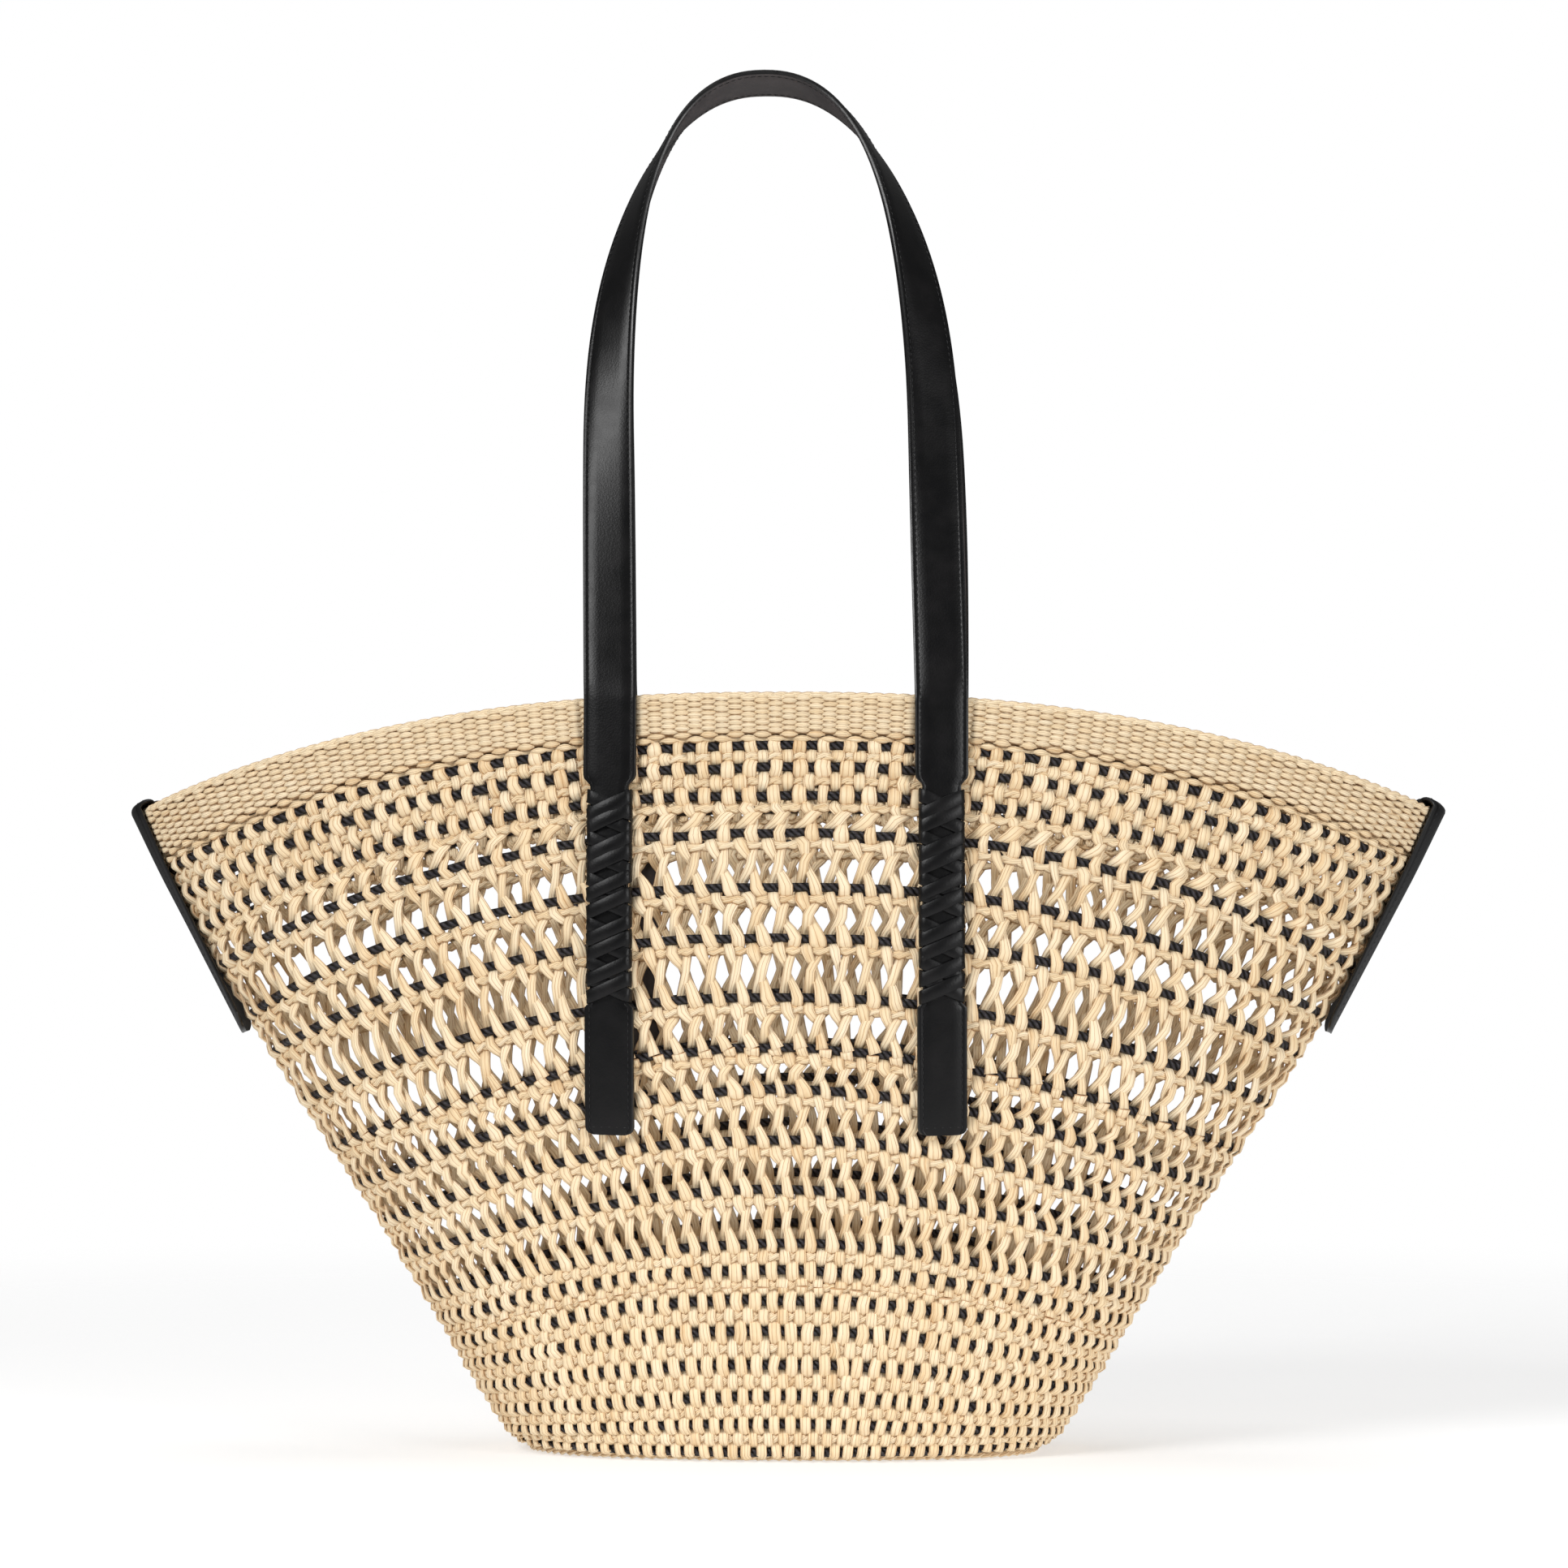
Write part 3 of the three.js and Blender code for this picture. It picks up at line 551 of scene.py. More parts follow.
class Shader:
    """Builds one material's nodes."""

    def __init__(self, name: str) -> None:
        """Makes a material with a Principled shader and an output."""
        self.material = bpy.data.materials.new(name)
        self.material.use_nodes = True
        self.tree = self.material.node_tree
        self.surface = self.tree.nodes["Principled BSDF"]
        self.output = self.tree.nodes["Material Output"]

    def node(
        self,
        kind: str,
        settings: dict[str, object] | None = None,
        inputs: dict | None = None,
        output: int | str = 0,
    ) -> Value:
        """Adds a node.

        Args:
            kind: The node's type.
            settings: Its settings; "stops" are a ramp's positions and colours.
            inputs: Values or links of its sockets, by name or number.
            output: Which output to give back.

        Returns:
            That output.
        """
        made = self.tree.nodes.new(kind)
        for name, setting in (settings or {}).items():
            if name == "stops":
                ramp = made.color_ramp.elements
                for _ in range(len(setting) - len(ramp)):
                    ramp.new(0.5)
                for stop, (position, colour) in zip(ramp, setting):
                    stop.position = position
                    stop.color = colour
            else:
                setattr(made, name, setting)
        for name, value in (inputs or {}).items():
            self.feed(made.inputs[name], value)
        return Value(self, made.outputs[output])

    def mix(
        self, factor: Value | float, low: Value | tuple, high: Value | tuple, blend: str = "MIX"
    ) -> Value:
        """Mixes two colours."""
        settings = {"data_type": "RGBA", "blend_type": blend, "clamp_factor": True}
        return self.node("ShaderNodeMix", settings, {0: factor, 6: low, 7: high}, 2)

    def vector(self, x: Value | float, y: Value | float, z: Value | float) -> Value:
        """Joins three numbers in a vector."""
        return self.node("ShaderNodeCombineXYZ", None, {0: x, 1: y, 2: z})

    def map(self, name: str) -> tuple[Value, Value]:
        """Reads the piece's own UV map as two numbers."""
        both = self.node("ShaderNodeUVMap", {"uv_map": name})
        return (
            self.node("ShaderNodeSeparateXYZ", None, {0: both}, 0),
            self.node("ShaderNodeSeparateXYZ", None, {0: both}, 1),
        )

    def noise(self, vector: Value, scale: float, detail: float = 2.0, roughness: float = 0.5) -> Value:
        """Reads soft noise, from 0 to 1."""
        inputs = {"Vector": vector, "Scale": scale, "Detail": detail, "Roughness": roughness}
        return self.node("ShaderNodeTexNoise", None, inputs)

    def spot(self) -> Value:
        """Reads the place in the piece's own metres."""
        return self.node("ShaderNodeTexCoord", None, None, "Object")

    def bump(self, height: Value, distance: float, strength: float = 1.0) -> Value:
        """Turns a height in 0 to 1 into a normal."""
        inputs = {"Height": height, "Distance": distance, "Strength": strength}
        return self.node("ShaderNodeBump", None, inputs)

    def feed(self, socket: bpy.types.NodeSocket, value: Value | float | tuple) -> None:
        """Links a value to a socket, or sets a constant on it."""
        if isinstance(value, Value):
            self.tree.links.new(value.socket, socket)
        else:
            socket.default_value = value

    def finish(self, **sockets: Value | float | tuple) -> bpy.types.Material:
        """Sets or links sockets of the surface, spaces in their names written as underscores."""
        for name, value in sockets.items():
            self.feed(self.surface.inputs[name.replace("_", " ")], value)
        return self.material


def linear(red: int, green: int, blue: int) -> tuple[float, float, float, float]:
    """Turns a screen colour into the shader's own scale."""
    shares = [channel / 255 for channel in (red, green, blue)]
    return tuple(s / 12.92 if s <= 0.04045 else ((s + 0.055) / 1.055) ** 2.4 for s in shares) + (1.0,)


@dataclass(frozen=True)
class RaffiaFinish:
    """Dry straw: fine fibres that run along each strand, lighter and darker strands, and painted shade at
    each strand's sides and in the grooves between its fibre ridges.
    """

    light: tuple[int, int, int] = (250, 233, 202)
    mid: tuple[int, int, int] = (239, 214, 174)
    dark: tuple[int, int, int] = (204, 154, 94)
    roughness: float = 0.64
    # crease: colour of the painted shade multiplied into the strands' sides and the grooves between their
    # ridges.
    crease: tuple[int, int, int] = (186, 130, 70)
    painted_shade_depth: float = 0.7
    fibres: float = 9.0
    fibre_length: float = 26 * MM
    fibre_noise: tuple[float, float, float] = (1.6, 3.0, 0.62)
    mottle_length: float = 25 * MM
    shifts: tuple[float, float] = (57.0, 91.0)
    waver: float = 5.0
    ridge_power: float = 0.6
    shade_shares: tuple[float, float, float, float] = (0.6, 0.3, 0.2, 0.09)
    stops: tuple[float, float, float] = (0.28, 0.55, 0.86)
    height_shares: tuple[float, float] = (0.55, 0.45)
    side_shade_range: tuple[float, float] = (0.12, 0.75)
    groove_shade_ridge: float = 0.6
    side_shade_shares: tuple[float, float] = (0.7, 0.3)
    roughness_spread: float = 0.2
    specular: float = 0.2
    relief: float = 0.42 * MM

    def material(self) -> bpy.types.Material:
        """Builds the material."""
        shader = Shader("raffia")
        turn, along = shader.map("strand")
        tone = shader.node("ShaderNodeAttribute", {"attribute_name": "tone"}, None, "Fac")
        fibre_shift, mottle_shift = self.shifts
        spot = shader.vector(turn * self.fibres, along * (1 / self.fibre_length), tone * fibre_shift)
        streaks = shader.noise(spot, *self.fibre_noise)
        spot = shader.vector(turn * 2.0, along * (1 / self.mottle_length), tone * mottle_shift)
        broad = shader.noise(spot, 1.0, 1.0)
        ridges = (turn * (self.fibres * math.pi) + broad * self.waver).sine().size() ** self.ridge_power
        of_streaks, of_broad, of_tone, least = self.shade_shares
        shade = streaks * of_streaks + broad * of_broad + tone * of_tone + least
        stops = tuple(zip(self.stops, (linear(*colour) for colour in (self.dark, self.mid, self.light))))
        colour = shader.node("ShaderNodeValToRGB", {"stops": stops}, {"Fac": shade})
        height = ridges * self.height_shares[0] + streaks * self.height_shares[1]
        # Painted shade: darker towards each strand's sides and between its fibre ridges, multiplied in with
        # the crease colour.
        side_shade_mask = (turn * TAU).sine().size().between(*self.side_shade_range)
        of_side_shade, least = self.side_shade_shares
        lit_share = ridges.between(0.0, self.groove_shade_ridge) * (side_shade_mask * of_side_shade + least)
        crease = shader.mix(lit_share, linear(*self.crease), linear(255, 255, 255))
        colour = shader.mix(self.painted_shade_depth, colour, crease, "MULTIPLY")
        return shader.finish(
            Base_Color=colour,
            Roughness=streaks * self.roughness_spread + (self.roughness - self.roughness_spread / 2),
            Normal=shader.bump(height, self.relief),
            Specular_IOR_Level=self.specular,
        )


@dataclass(frozen=True)
class CordFinish:
    """Black paper cord, laid from three plies, with a painted highlight on the ply crests and painted shade
    in the valleys, broken by fibre noise.
    """

    colour: tuple[int, int, int] = (5, 4, 5)
    painted_crest_highlight: tuple[int, int, int] = (58, 54, 58)
    plies: int = 3
    lay: float = 3.4 * MM
    fibre_scales: tuple[float, float, float] = (14.0, 900.0, 60.0)
    fibre_noise: tuple[float, float, float] = (2.0, 3.0, 0.6)
    highlight_lift: float = 0.3
    roughness: float = 0.5
    fibre_share: float = 0.2
    ply_power: float = 0.7
    specular: float = 0.3
    relief: float = 0.95 * MM

    def material(self) -> bpy.types.Material:
        """Builds the material."""
        shader = Shader("black_cord")
        turn, along = shader.map("strand")
        ply = (turn * (math.pi * self.plies) + along * (math.pi / self.lay)).sine().size()
        across, slant, length = self.fibre_scales
        spot = shader.vector(turn * across + along * slant, along * length, 0.0)
        fibres = shader.noise(spot, *self.fibre_noise)
        # Painted highlight and shade: lighter on the ply crests, darker in the valleys, with real fibre noise
        # mixed in.
        colour = shader.mix(ply ** 2.0 * (fibres + self.highlight_lift), linear(*self.colour), linear(*self.painted_crest_highlight))
        return shader.finish(
            Base_Color=colour,
            Roughness=self.roughness - fibres * self.fibre_share,
            Normal=shader.bump(ply ** self.ply_power + fibres * self.fibre_share, self.relief),
            Specular_IOR_Level=self.specular,
        )


@dataclass(frozen=True)
class LeatherFinish:
    """Smooth black leather with a fine grain and a soft sheen."""

    name: str = "black_leather"
    colour: tuple[int, int, int] = (7, 7, 8)
    pale: tuple[int, int, int] = (13, 12, 13)
    roughness: float = 0.34
    grain: float = 1100.0
    fine_grain: float = 2.2
    mottle_noise: tuple[float, float, float] = (90.0, 3.0, 0.55)
    pale_range: tuple[float, float] = (0.35, 0.75)
    roughness_shares: tuple[float, float, float] = (0.16, 0.06, -0.1)
    height_shares: tuple[float, float] = (0.7, 0.3)
    specular: float = 0.24
    relief: float = 0.05 * MM

    def material(self) -> bpy.types.Material:
        """Builds the material."""
        shader = Shader(self.name)
        spot = shader.spot()
        cells = shader.node("ShaderNodeTexVoronoi", {"feature": "F1"}, {"Vector": spot, "Scale": self.grain})
        soft = shader.noise(spot, *self.mottle_noise)
        fine = shader.noise(spot, self.grain * self.fine_grain, 2.0)
        colour = shader.mix(soft.between(*self.pale_range), linear(*self.colour), linear(*self.pale))
        of_soft, of_fine, least = self.roughness_shares
        return shader.finish(
            Base_Color=colour,
            Roughness=soft * of_soft + fine * of_fine + (self.roughness + least),
            Normal=shader.bump(cells * self.height_shares[0] + fine * self.height_shares[1], self.relief),
            Specular_IOR_Level=self.specular,
        )


@dataclass(frozen=True)
class EdgePaintFinish:
    """Painted leather edge, smooth and a little glossier."""

    colour: tuple[int, int, int] = (11, 11, 12)
    roughness: float = 0.33
    roughness_spread: float = 0.14
    waves: float = 260.0
    relief: float = 0.1 * MM

    def material(self) -> bpy.types.Material:
        """Builds the material."""
        shader = Shader("painted_edge")
        waves = shader.noise(shader.spot(), self.waves, 2.0)
        return shader.finish(
            Base_Color=linear(*self.colour),
            Roughness=waves * self.roughness_spread + (self.roughness - self.roughness_spread / 2),
            Normal=shader.bump(waves, self.relief),
        )


@dataclass(frozen=True)
class ThreadFinish:
    """Black waxed thread."""

    colour: tuple[int, int, int] = (17, 17, 19)
    roughness: float = 0.5
    lay: float = 0.5 * MM
    relief: float = 0.05 * MM
    strength: float = 0.6

    def material(self) -> bpy.types.Material:
        """Builds the material."""
        shader = Shader("black_thread")
        turn, along = shader.map("strand")
        twist = (turn * TAU + along * (TAU / self.lay)).sine()
        return shader.finish(
            Base_Color=linear(*self.colour),
            Roughness=self.roughness,
            Normal=shader.bump(twist, self.relief, self.strength),
        )


@dataclass(frozen=True)
class FloorFinish:
    """White paper floor that fades into the backdrop."""

    colour: tuple[int, int, int] = (206, 206, 206)
    roughness: float = 0.9
    glow: float = 0.5
    solid_radius: float = 0.45
    clear_radius: float = 1.5

    def material(self) -> bpy.types.Material:
        """Builds the material."""
        shader = Shader("floor")
        shader.finish(
            Base_Color=linear(*self.colour),
            Roughness=self.roughness,
            Specular_IOR_Level=0.0,
            Emission_Color=(1.0, 1.0, 1.0, 1.0),
            Emission_Strength=self.glow,
        )
        spot = shader.spot()
        reach = shader.node("ShaderNodeVectorMath", {"operation": "LENGTH"}, {0: spot}, "Value")
        clear = shader.node("ShaderNodeBsdfTransparent")
        solid = Value(shader, shader.surface.outputs[0])
        mixed = shader.node(
            "ShaderNodeMixShader",
            None,
            {0: reach.between(self.solid_radius, self.clear_radius), 1: solid, 2: clear},
        )
        shader.tree.links.new(mixed.socket, shader.output.inputs["Surface"])
        return shader.material


@dataclass
class Finishes:
    """The materials of the bag, built once."""

    raffia: bpy.types.Material = field(default_factory=lambda: RaffiaFinish().material())
    cord: bpy.types.Material = field(default_factory=lambda: CordFinish().material())
    leather: bpy.types.Material = field(default_factory=lambda: LeatherFinish().material())
    thong: bpy.types.Material = field(
        default_factory=lambda: LeatherFinish("thong_leather", pale=(18, 17, 18), roughness=0.38).material()
    )
    lining: bpy.types.Material = field(
        default_factory=lambda: LeatherFinish("lining_leather", (64, 60, 61), (80, 75, 76), 0.5).material()
    )
    edge: bpy.types.Material = field(default_factory=lambda: EdgePaintFinish().material())
    thread: bpy.types.Material = field(default_factory=lambda: ThreadFinish().material())


def dress(piece: bpy.types.Object, slot: str, *materials: bpy.types.Material) -> bpy.types.Object:
    """Gives a piece its materials and its body.

    Args:
        piece: The piece.
        slot: The record's material slot; not used.
        materials: Its materials, in the order of its faces' indices.

    Returns:
        The piece.
    """
    for material in materials:
        piece.data.materials.append(material)
    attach(piece, BODY)
    log.info("%s: %d faces", piece.name, len(piece.data.polygons))
    return piece


# Woven wall


@dataclass
class RowPlan:
    """Rows of the wall: black cords with a straw weft under each, both a little uneven."""

    cords: tuple[float, ...] = (
        0.929,
        0.9004,
        0.8631,
        0.8136,
        0.7437,
        0.6767,
        0.6001,
        0.5333,
        0.4806,
        0.4154,
        0.3475,
        0.2767,
        0.2418,
        0.2019,
        0.1611,
        0.1159,
        0.0722,
        0.0358,
        -0.0035,
    )
    first_open: int = 2
    last_open: int = 10
    open_weft_drop: float = 0.0158
    wobble: float = 0.0012
    wave_counts: tuple[int, ...] = (5, 13, 31)
    wave_sizes: tuple[float, ...] = (0.8, 0.6, 0.4)

    def __post_init__(self) -> None:
        """Draws the waves of each row, which its cord and its weft share."""
        draw = Draws.ROWS.start()
        shape = (2 * len(self.cords), len(self.wave_counts))
        self.phases = draw.uniform(0, TAU, shape)[::2]
        self.sizes = (draw.normal(0, 1, shape) * np.array(self.wave_sizes))[::2]

    def weft(self, row: int) -> float:
        """Gives the level of the weft under a cord."""
        if self.first_open <= row <= self.last_open:
            return self.cords[row] - self.open_weft_drop
        last = row + 1 == len(self.cords)
        below = 2 * self.cords[row] - self.cords[row - 1] if last else self.cords[row + 1]
        return (self.cords[row] + below) / 2

    def level(self, row: int, is_weft: bool, turn: np.ndarray) -> np.ndarray:
        """Gives a row's level at shares of the way round.

        Args:
            row: The cord's number from the top.
            is_weft: Whether the weft under that cord is meant.
            turn: Shares of the way round.

        Returns:
            Levels, a little uneven.
        """
        base = self.weft(row) if is_weft else self.cords[row]
        waves = zip(self.sizes[row], self.wave_counts, self.phases[row])
        swing = sum(size * np.sin(TAU * count * turn + phase) for size, count, phase in waves)
        return base + self.wobble * swing


@dataclass(frozen=True)
class Stop:
    """Where one strand of every pair passes a row.

    row is the cord's number from the top, and share how far below it: 1 at its weft, 2 at the next cord.
    across is in pitches from the pair's middle; height is from the wall's middle surface.
    """

    row: int
    share: float
    across: float
    height: float
    width: float
    thickness: float = 1.3 * MM


@dataclass
class WovenWall:
    """The basket's wall: pairs of straw strands over and under black cords and straw wefts.

    Heights are from the wall's middle surface. The tucks and the belt's start give a Stop's share and height.
    """

    form: BasketForm
    finishes: Finishes
    rows: RowPlan = field(default_factory=RowPlan)
    middle: float = -2.5 * MM
    cord_radius: float = 2.1 * MM
    cord_height: float = -0.6 * MM
    cord_stations: int = 312
    over_cord: float = 2.1 * MM
    behind_cord: float = -3.3 * MM
    over_weft: float = 1.75 * MM
    behind_weft: float = -1.75 * MM
    cross_front: float = 1.6 * MM
    cross_back: float = -1.1 * MM
    cross_share: float = 0.42
    plain_width: float = 6.0 * MM
    plain_weft_width: float = 5.3 * MM
    plain_tuck_width: float = 4.7 * MM
    patch_width: float = 5.9 * MM
    tuck_width: float = 4.5 * MM
    bundle_width: float = 4.3 * MM
    fan_width: float = 5.4 * MM
    first_bundle_width: float = 5.8 * MM
    pinch_width: float = 2.7 * MM
    widest_share: float = 0.72
    ply_width: float = 2.9 * MM
    ply_thickness: float = 1.9 * MM
    ply_reach: float = 1.0 * MM
    ply_depth: float = 0.55 * MM
    ply_steps: int = 3
    ply_spread: float = 0.07
    upper_pairs: int = 118
    pairs: int = 94
    drift: float = 0.2
    first_shift: float = 0.44
    top_tuck: tuple[float, float] = (-0.95, -2.4 * MM)
    belt_start: tuple[float, float] = (0.45, -0.9 * MM)
    over_shifts: tuple[float, float] = (0.09, -0.1)
    under_shifts: tuple[float, float, float] = (-0.54, -0.39, -0.13)
    front_thickness: float = 1.7 * MM
    back_thickness: float = 1.5 * MM
    foot_tuck: tuple[float, float] = (2.62, -3.6 * MM)
    first_cross: float = -0.27
    upper_steps: int = 4
    lower_steps: int = 3
    pieces: tuple[tuple[str, int], ...] = (
        ("belt_weave_upper", 15),
        ("belt_weave_lower", 15),
        ("foot_weave", 99),
    )
    sway: float = 0.06
    level_spread: float = 0.0006
    height_spread: float = 0.12 * MM
    width_spread: float = 0.12
    thickness_spread: float = 0.08
    patch_end: float = 2.4
    ply_lead: float = 0.13
    sides: int = 8

    def plain_stops(self, row: int, over: bool, across: float) -> list[Stop]:
        """Gives the stops of a plainly woven strand at a cord and the weft under it.

        Args:
            row: The cord's number.
            over: Whether the strand lies over the cord, and so behind the weft.
            across: Its place in the pair, in pitches.

        Returns:
            Two stops.
        """
        if over:
            return [
                Stop(row, 0, across, self.over_cord, self.plain_width),
                Stop(row, 1, across, self.behind_weft, self.plain_weft_width),
            ]
        return [
            Stop(row, 0, across, self.behind_cord, self.plain_tuck_width),
            Stop(row, 1, across, self.over_weft, self.plain_weft_width),
        ]

    def crossed_stops(self, row: int, over: bool, across: float) -> list[Stop]:
        """Gives the stops of a strand in an open row: at the cord, at the weft and where the pair crosses.

        Args:
            row: The cord's number.
            over: Whether the strand lies over the cord.
            across: Place of the pair, in pitches.

        Returns:
            Three stops.
        """
        cross = 1 + self.cross_share
        bundle = self.first_bundle_width if row == self.rows.first_open else self.bundle_width
        if over:
            at_weft, at_cross = self.over_shifts
            return [
                Stop(row, 0, across, self.over_cord, self.patch_width),
                Stop(row, 1, across + at_weft, self.behind_weft, self.tuck_width),
                Stop(row, cross, across + at_cross, self.cross_front, bundle, self.front_thickness),
            ]
        at_cord, at_weft, at_cross = self.under_shifts
        return [
            Stop(row, 0, across + at_cord, self.behind_cord, self.tuck_width),
            Stop(row, 1, across + at_weft, self.over_weft, self.fan_width),
            Stop(row, cross, across + at_cross, self.cross_back, self.pinch_width, self.back_thickness),
        ]

    def stop_level(self, stop: Stop, turn: np.ndarray) -> np.ndarray:
        """Gives the level of a stop at shares of the way round."""
        cord = self.rows.level(stop.row, False, turn)
        weft = self.rows.level(stop.row, True, turn)
        if stop.share <= 1:
            return cord + (weft - cord) * stop.share
        following = self.rows.level(stop.row + 1, False, turn)
        return weft + (following - weft) * (stop.share - 1)

    def run(
        self, batch: StrandBatch, pairs: int, stops: list[Stop], steps: int, draw: np.random.Generator
    ) -> None:
        """Runs one strand of every pair through stops and adds the strands to a batch.

        Args:
            batch: The batch to add to.
            pairs: Number of pairs round the wall.
            stops: The strand's stops, from the top down.
            steps: Stations from each stop to the next.
            draw: Source of the small differences between strands.
        """
        count = len(stops)
        across = np.array([stop.across for stop in stops])
        turns = (np.arange(pairs)[:, None] + across + draw.normal(0, self.sway, (pairs, count))) / pairs
        levels = np.stack([self.stop_level(stop, turns[:, k]) for k, stop in enumerate(stops)], axis=1)
        levels += draw.normal(0, self.level_spread, levels.shape)
        heights = np.array([stop.height for stop in stops]) + draw.normal(0, self.height_spread, levels.shape)
        spread = 1 + draw.normal(0, self.width_spread, levels.shape)
        widths = np.array([stop.width for stop in stops]) * spread
        widest = np.array([self.widest_share * self.form.girth(level) / pairs for level in levels[0]])
        widths = np.minimum(widths, widest)
        spread = draw.normal(0, self.thickness_spread, levels.shape)
        thick = np.array([stop.thickness for stop in stops]) * (1 + spread)
        at = np.linspace(0, count - 1, (count - 1) * steps + 1)
        k = np.minimum(at.astype(int), count - 2)
        part = at - k
        eased = part * part * (3 - 2 * part)
        is_patch = np.array([stop.share == 0 and stop.height > 0 for stop in stops])[k]
        held = np.where(is_patch, np.clip(1 - (1 - part) * self.patch_end, 0, 1), part)

        def between(values: np.ndarray, share: np.ndarray) -> np.ndarray:
            """Reads values between the stops."""
            return values[:, k] * (1 - share) + values[:, k + 1] * share

        turn = between(turns, (part + eased) / 2)
        level = between(levels, part)
        height = between(heights, eased) + self.middle
        centres, normals = self.form.place(turn, level, height)
        tones = draw.uniform(0, 1, pairs)
        batch.add(centres, normals, between(widths, held), between(thick, held), tones)

    def upper_weave(self) -> bpy.types.Object:
        """Makes the strands above the open rows."""
        batch = StrandBatch(section_outline(self.sides))
        draw = Draws.UPPER_WEAVE.start()
        for over in (True, False):
            across = 0.0 if over else 0.5
            stops = [Stop(0, self.top_tuck[0], across, self.top_tuck[1], self.plain_tuck_width)]
            for row in range(self.rows.first_open):
                stops += self.plain_stops(row, over, across)
            last = self.rows.first_open
            stops.append(self.plain_stops(last, over, across)[0])
            stops.append(Stop(last, 1.0, across, self.behind_weft, self.pinch_width))
            self.run(batch, self.upper_pairs, stops, self.upper_steps, draw)
        return batch.build("upper_weave")

    def lower_stops(self, starts_over: bool) -> list[Stop]:
        """Gives the stops of a strand from the first open row down to the foot.

        Args:
            starts_over: Whether the strand would lie over the cord above the first open row.

        Returns:
            Its stops.
        """
        first, last = self.rows.first_open, self.rows.last_open
        weft, cross = self.crossed_stops(first, starts_over, self.first_shift)[1:]
        if starts_over:
            cross = replace(cross, across=self.first_shift + self.first_cross)
        start, height = self.belt_start
        stops = [Stop(first, start, weft.across, height, self.pinch_width), weft, cross]
        over = not starts_over
        for row in range(first + 1, last + 1):
            stops += self.crossed_stops(row, over, self.drift * (row - first))
            over = not over
        across = self.drift * (last + 1 - first) - (0 if over else 0.5)
        end = len(self.rows.cords) - 1
        for row in range(last + 1, end):
            stops += self.plain_stops(row, over, across)
        stops.append(Stop(end, 0, across, self.over_cord if over else self.behind_cord, self.patch_width))
        stops.append(Stop(end - 1, self.foot_tuck[0], across, self.foot_tuck[1], self.pinch_width))
        return stops

    def lower_weave(self) -> list[bpy.types.Object]:
        """Makes the strands of the open rows and the foot, in pieces that meet behind a weft."""
        made = []
        start = 0
        for number, (name, length) in enumerate(self.pieces):
            batch = StrandBatch(section_outline(self.sides))
            for over in (True, False):
                stops = self.lower_stops(over)
                draw = Draws.LOWER_WEAVE.start(2 * number + over)
                self.run(batch, self.pairs, stops[start : start + length + 1], self.lower_steps, draw)
            made.append(batch.build(name))
            start += length
        return made

    def cords(self) -> bpy.types.Object:
        """Makes the black cord of each row."""
        batch = StrandBatch(section_outline(sides=7, squareness=ROUND))
        draw = Draws.CORDS.start()
        turn = np.arange(self.cord_stations) / self.cord_stations
        for row in range(len(self.rows.cords)):
            level = self.rows.level(row, False, turn)
            centres, normals = self.form.place(turn, level, np.array(self.middle + self.cord_height))
            size = 2 * self.cord_radius
            batch.hoop(centres, normals, size, size * ROUND_CORD, draw.uniform(0, 1, 1))
        return batch.build("black_cords")

    def wefts(self) -> bpy.types.Object:
        """Makes the two twisted plies of each straw weft."""
        batch = StrandBatch(section_outline(sides=5, squareness=ROUND))
        draw = Draws.WEFTS.start()
        for row in range(len(self.rows.cords) - 1):
            pairs = self.upper_pairs if row < self.rows.first_open else self.pairs
            stations = pairs * self.ply_steps
            turn = np.arange(stations) / stations
            for ply in (0, 0.5):
                phase = TAU * (pairs * turn + ply + self.ply_lead)
                level = self.rows.level(row, True, turn) + self.ply_reach / self.form.rise * np.sin(phase)
                height = self.middle + self.ply_depth * np.cos(phase)
                centres, normals = self.form.place(turn, level, height)
                width = self.ply_width * (1 + draw.normal(0, self.ply_spread, stations))
                batch.hoop(centres, normals, width, self.ply_thickness, draw.uniform(0, 1, 1))
        return batch.build("straw_wefts")

    def build(self) -> None:
        """Makes and dresses the wall."""
        for piece in (self.upper_weave(), *self.lower_weave(), self.wefts()):
            dress(piece, RAFFIA_SLOT, self.finishes.raffia)
            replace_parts(piece, "basket_wall")
        cords = dress(self.cords(), RAFFIA_SLOT, self.finishes.cord)
        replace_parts(cords, "basket_wall")


# Rim and base


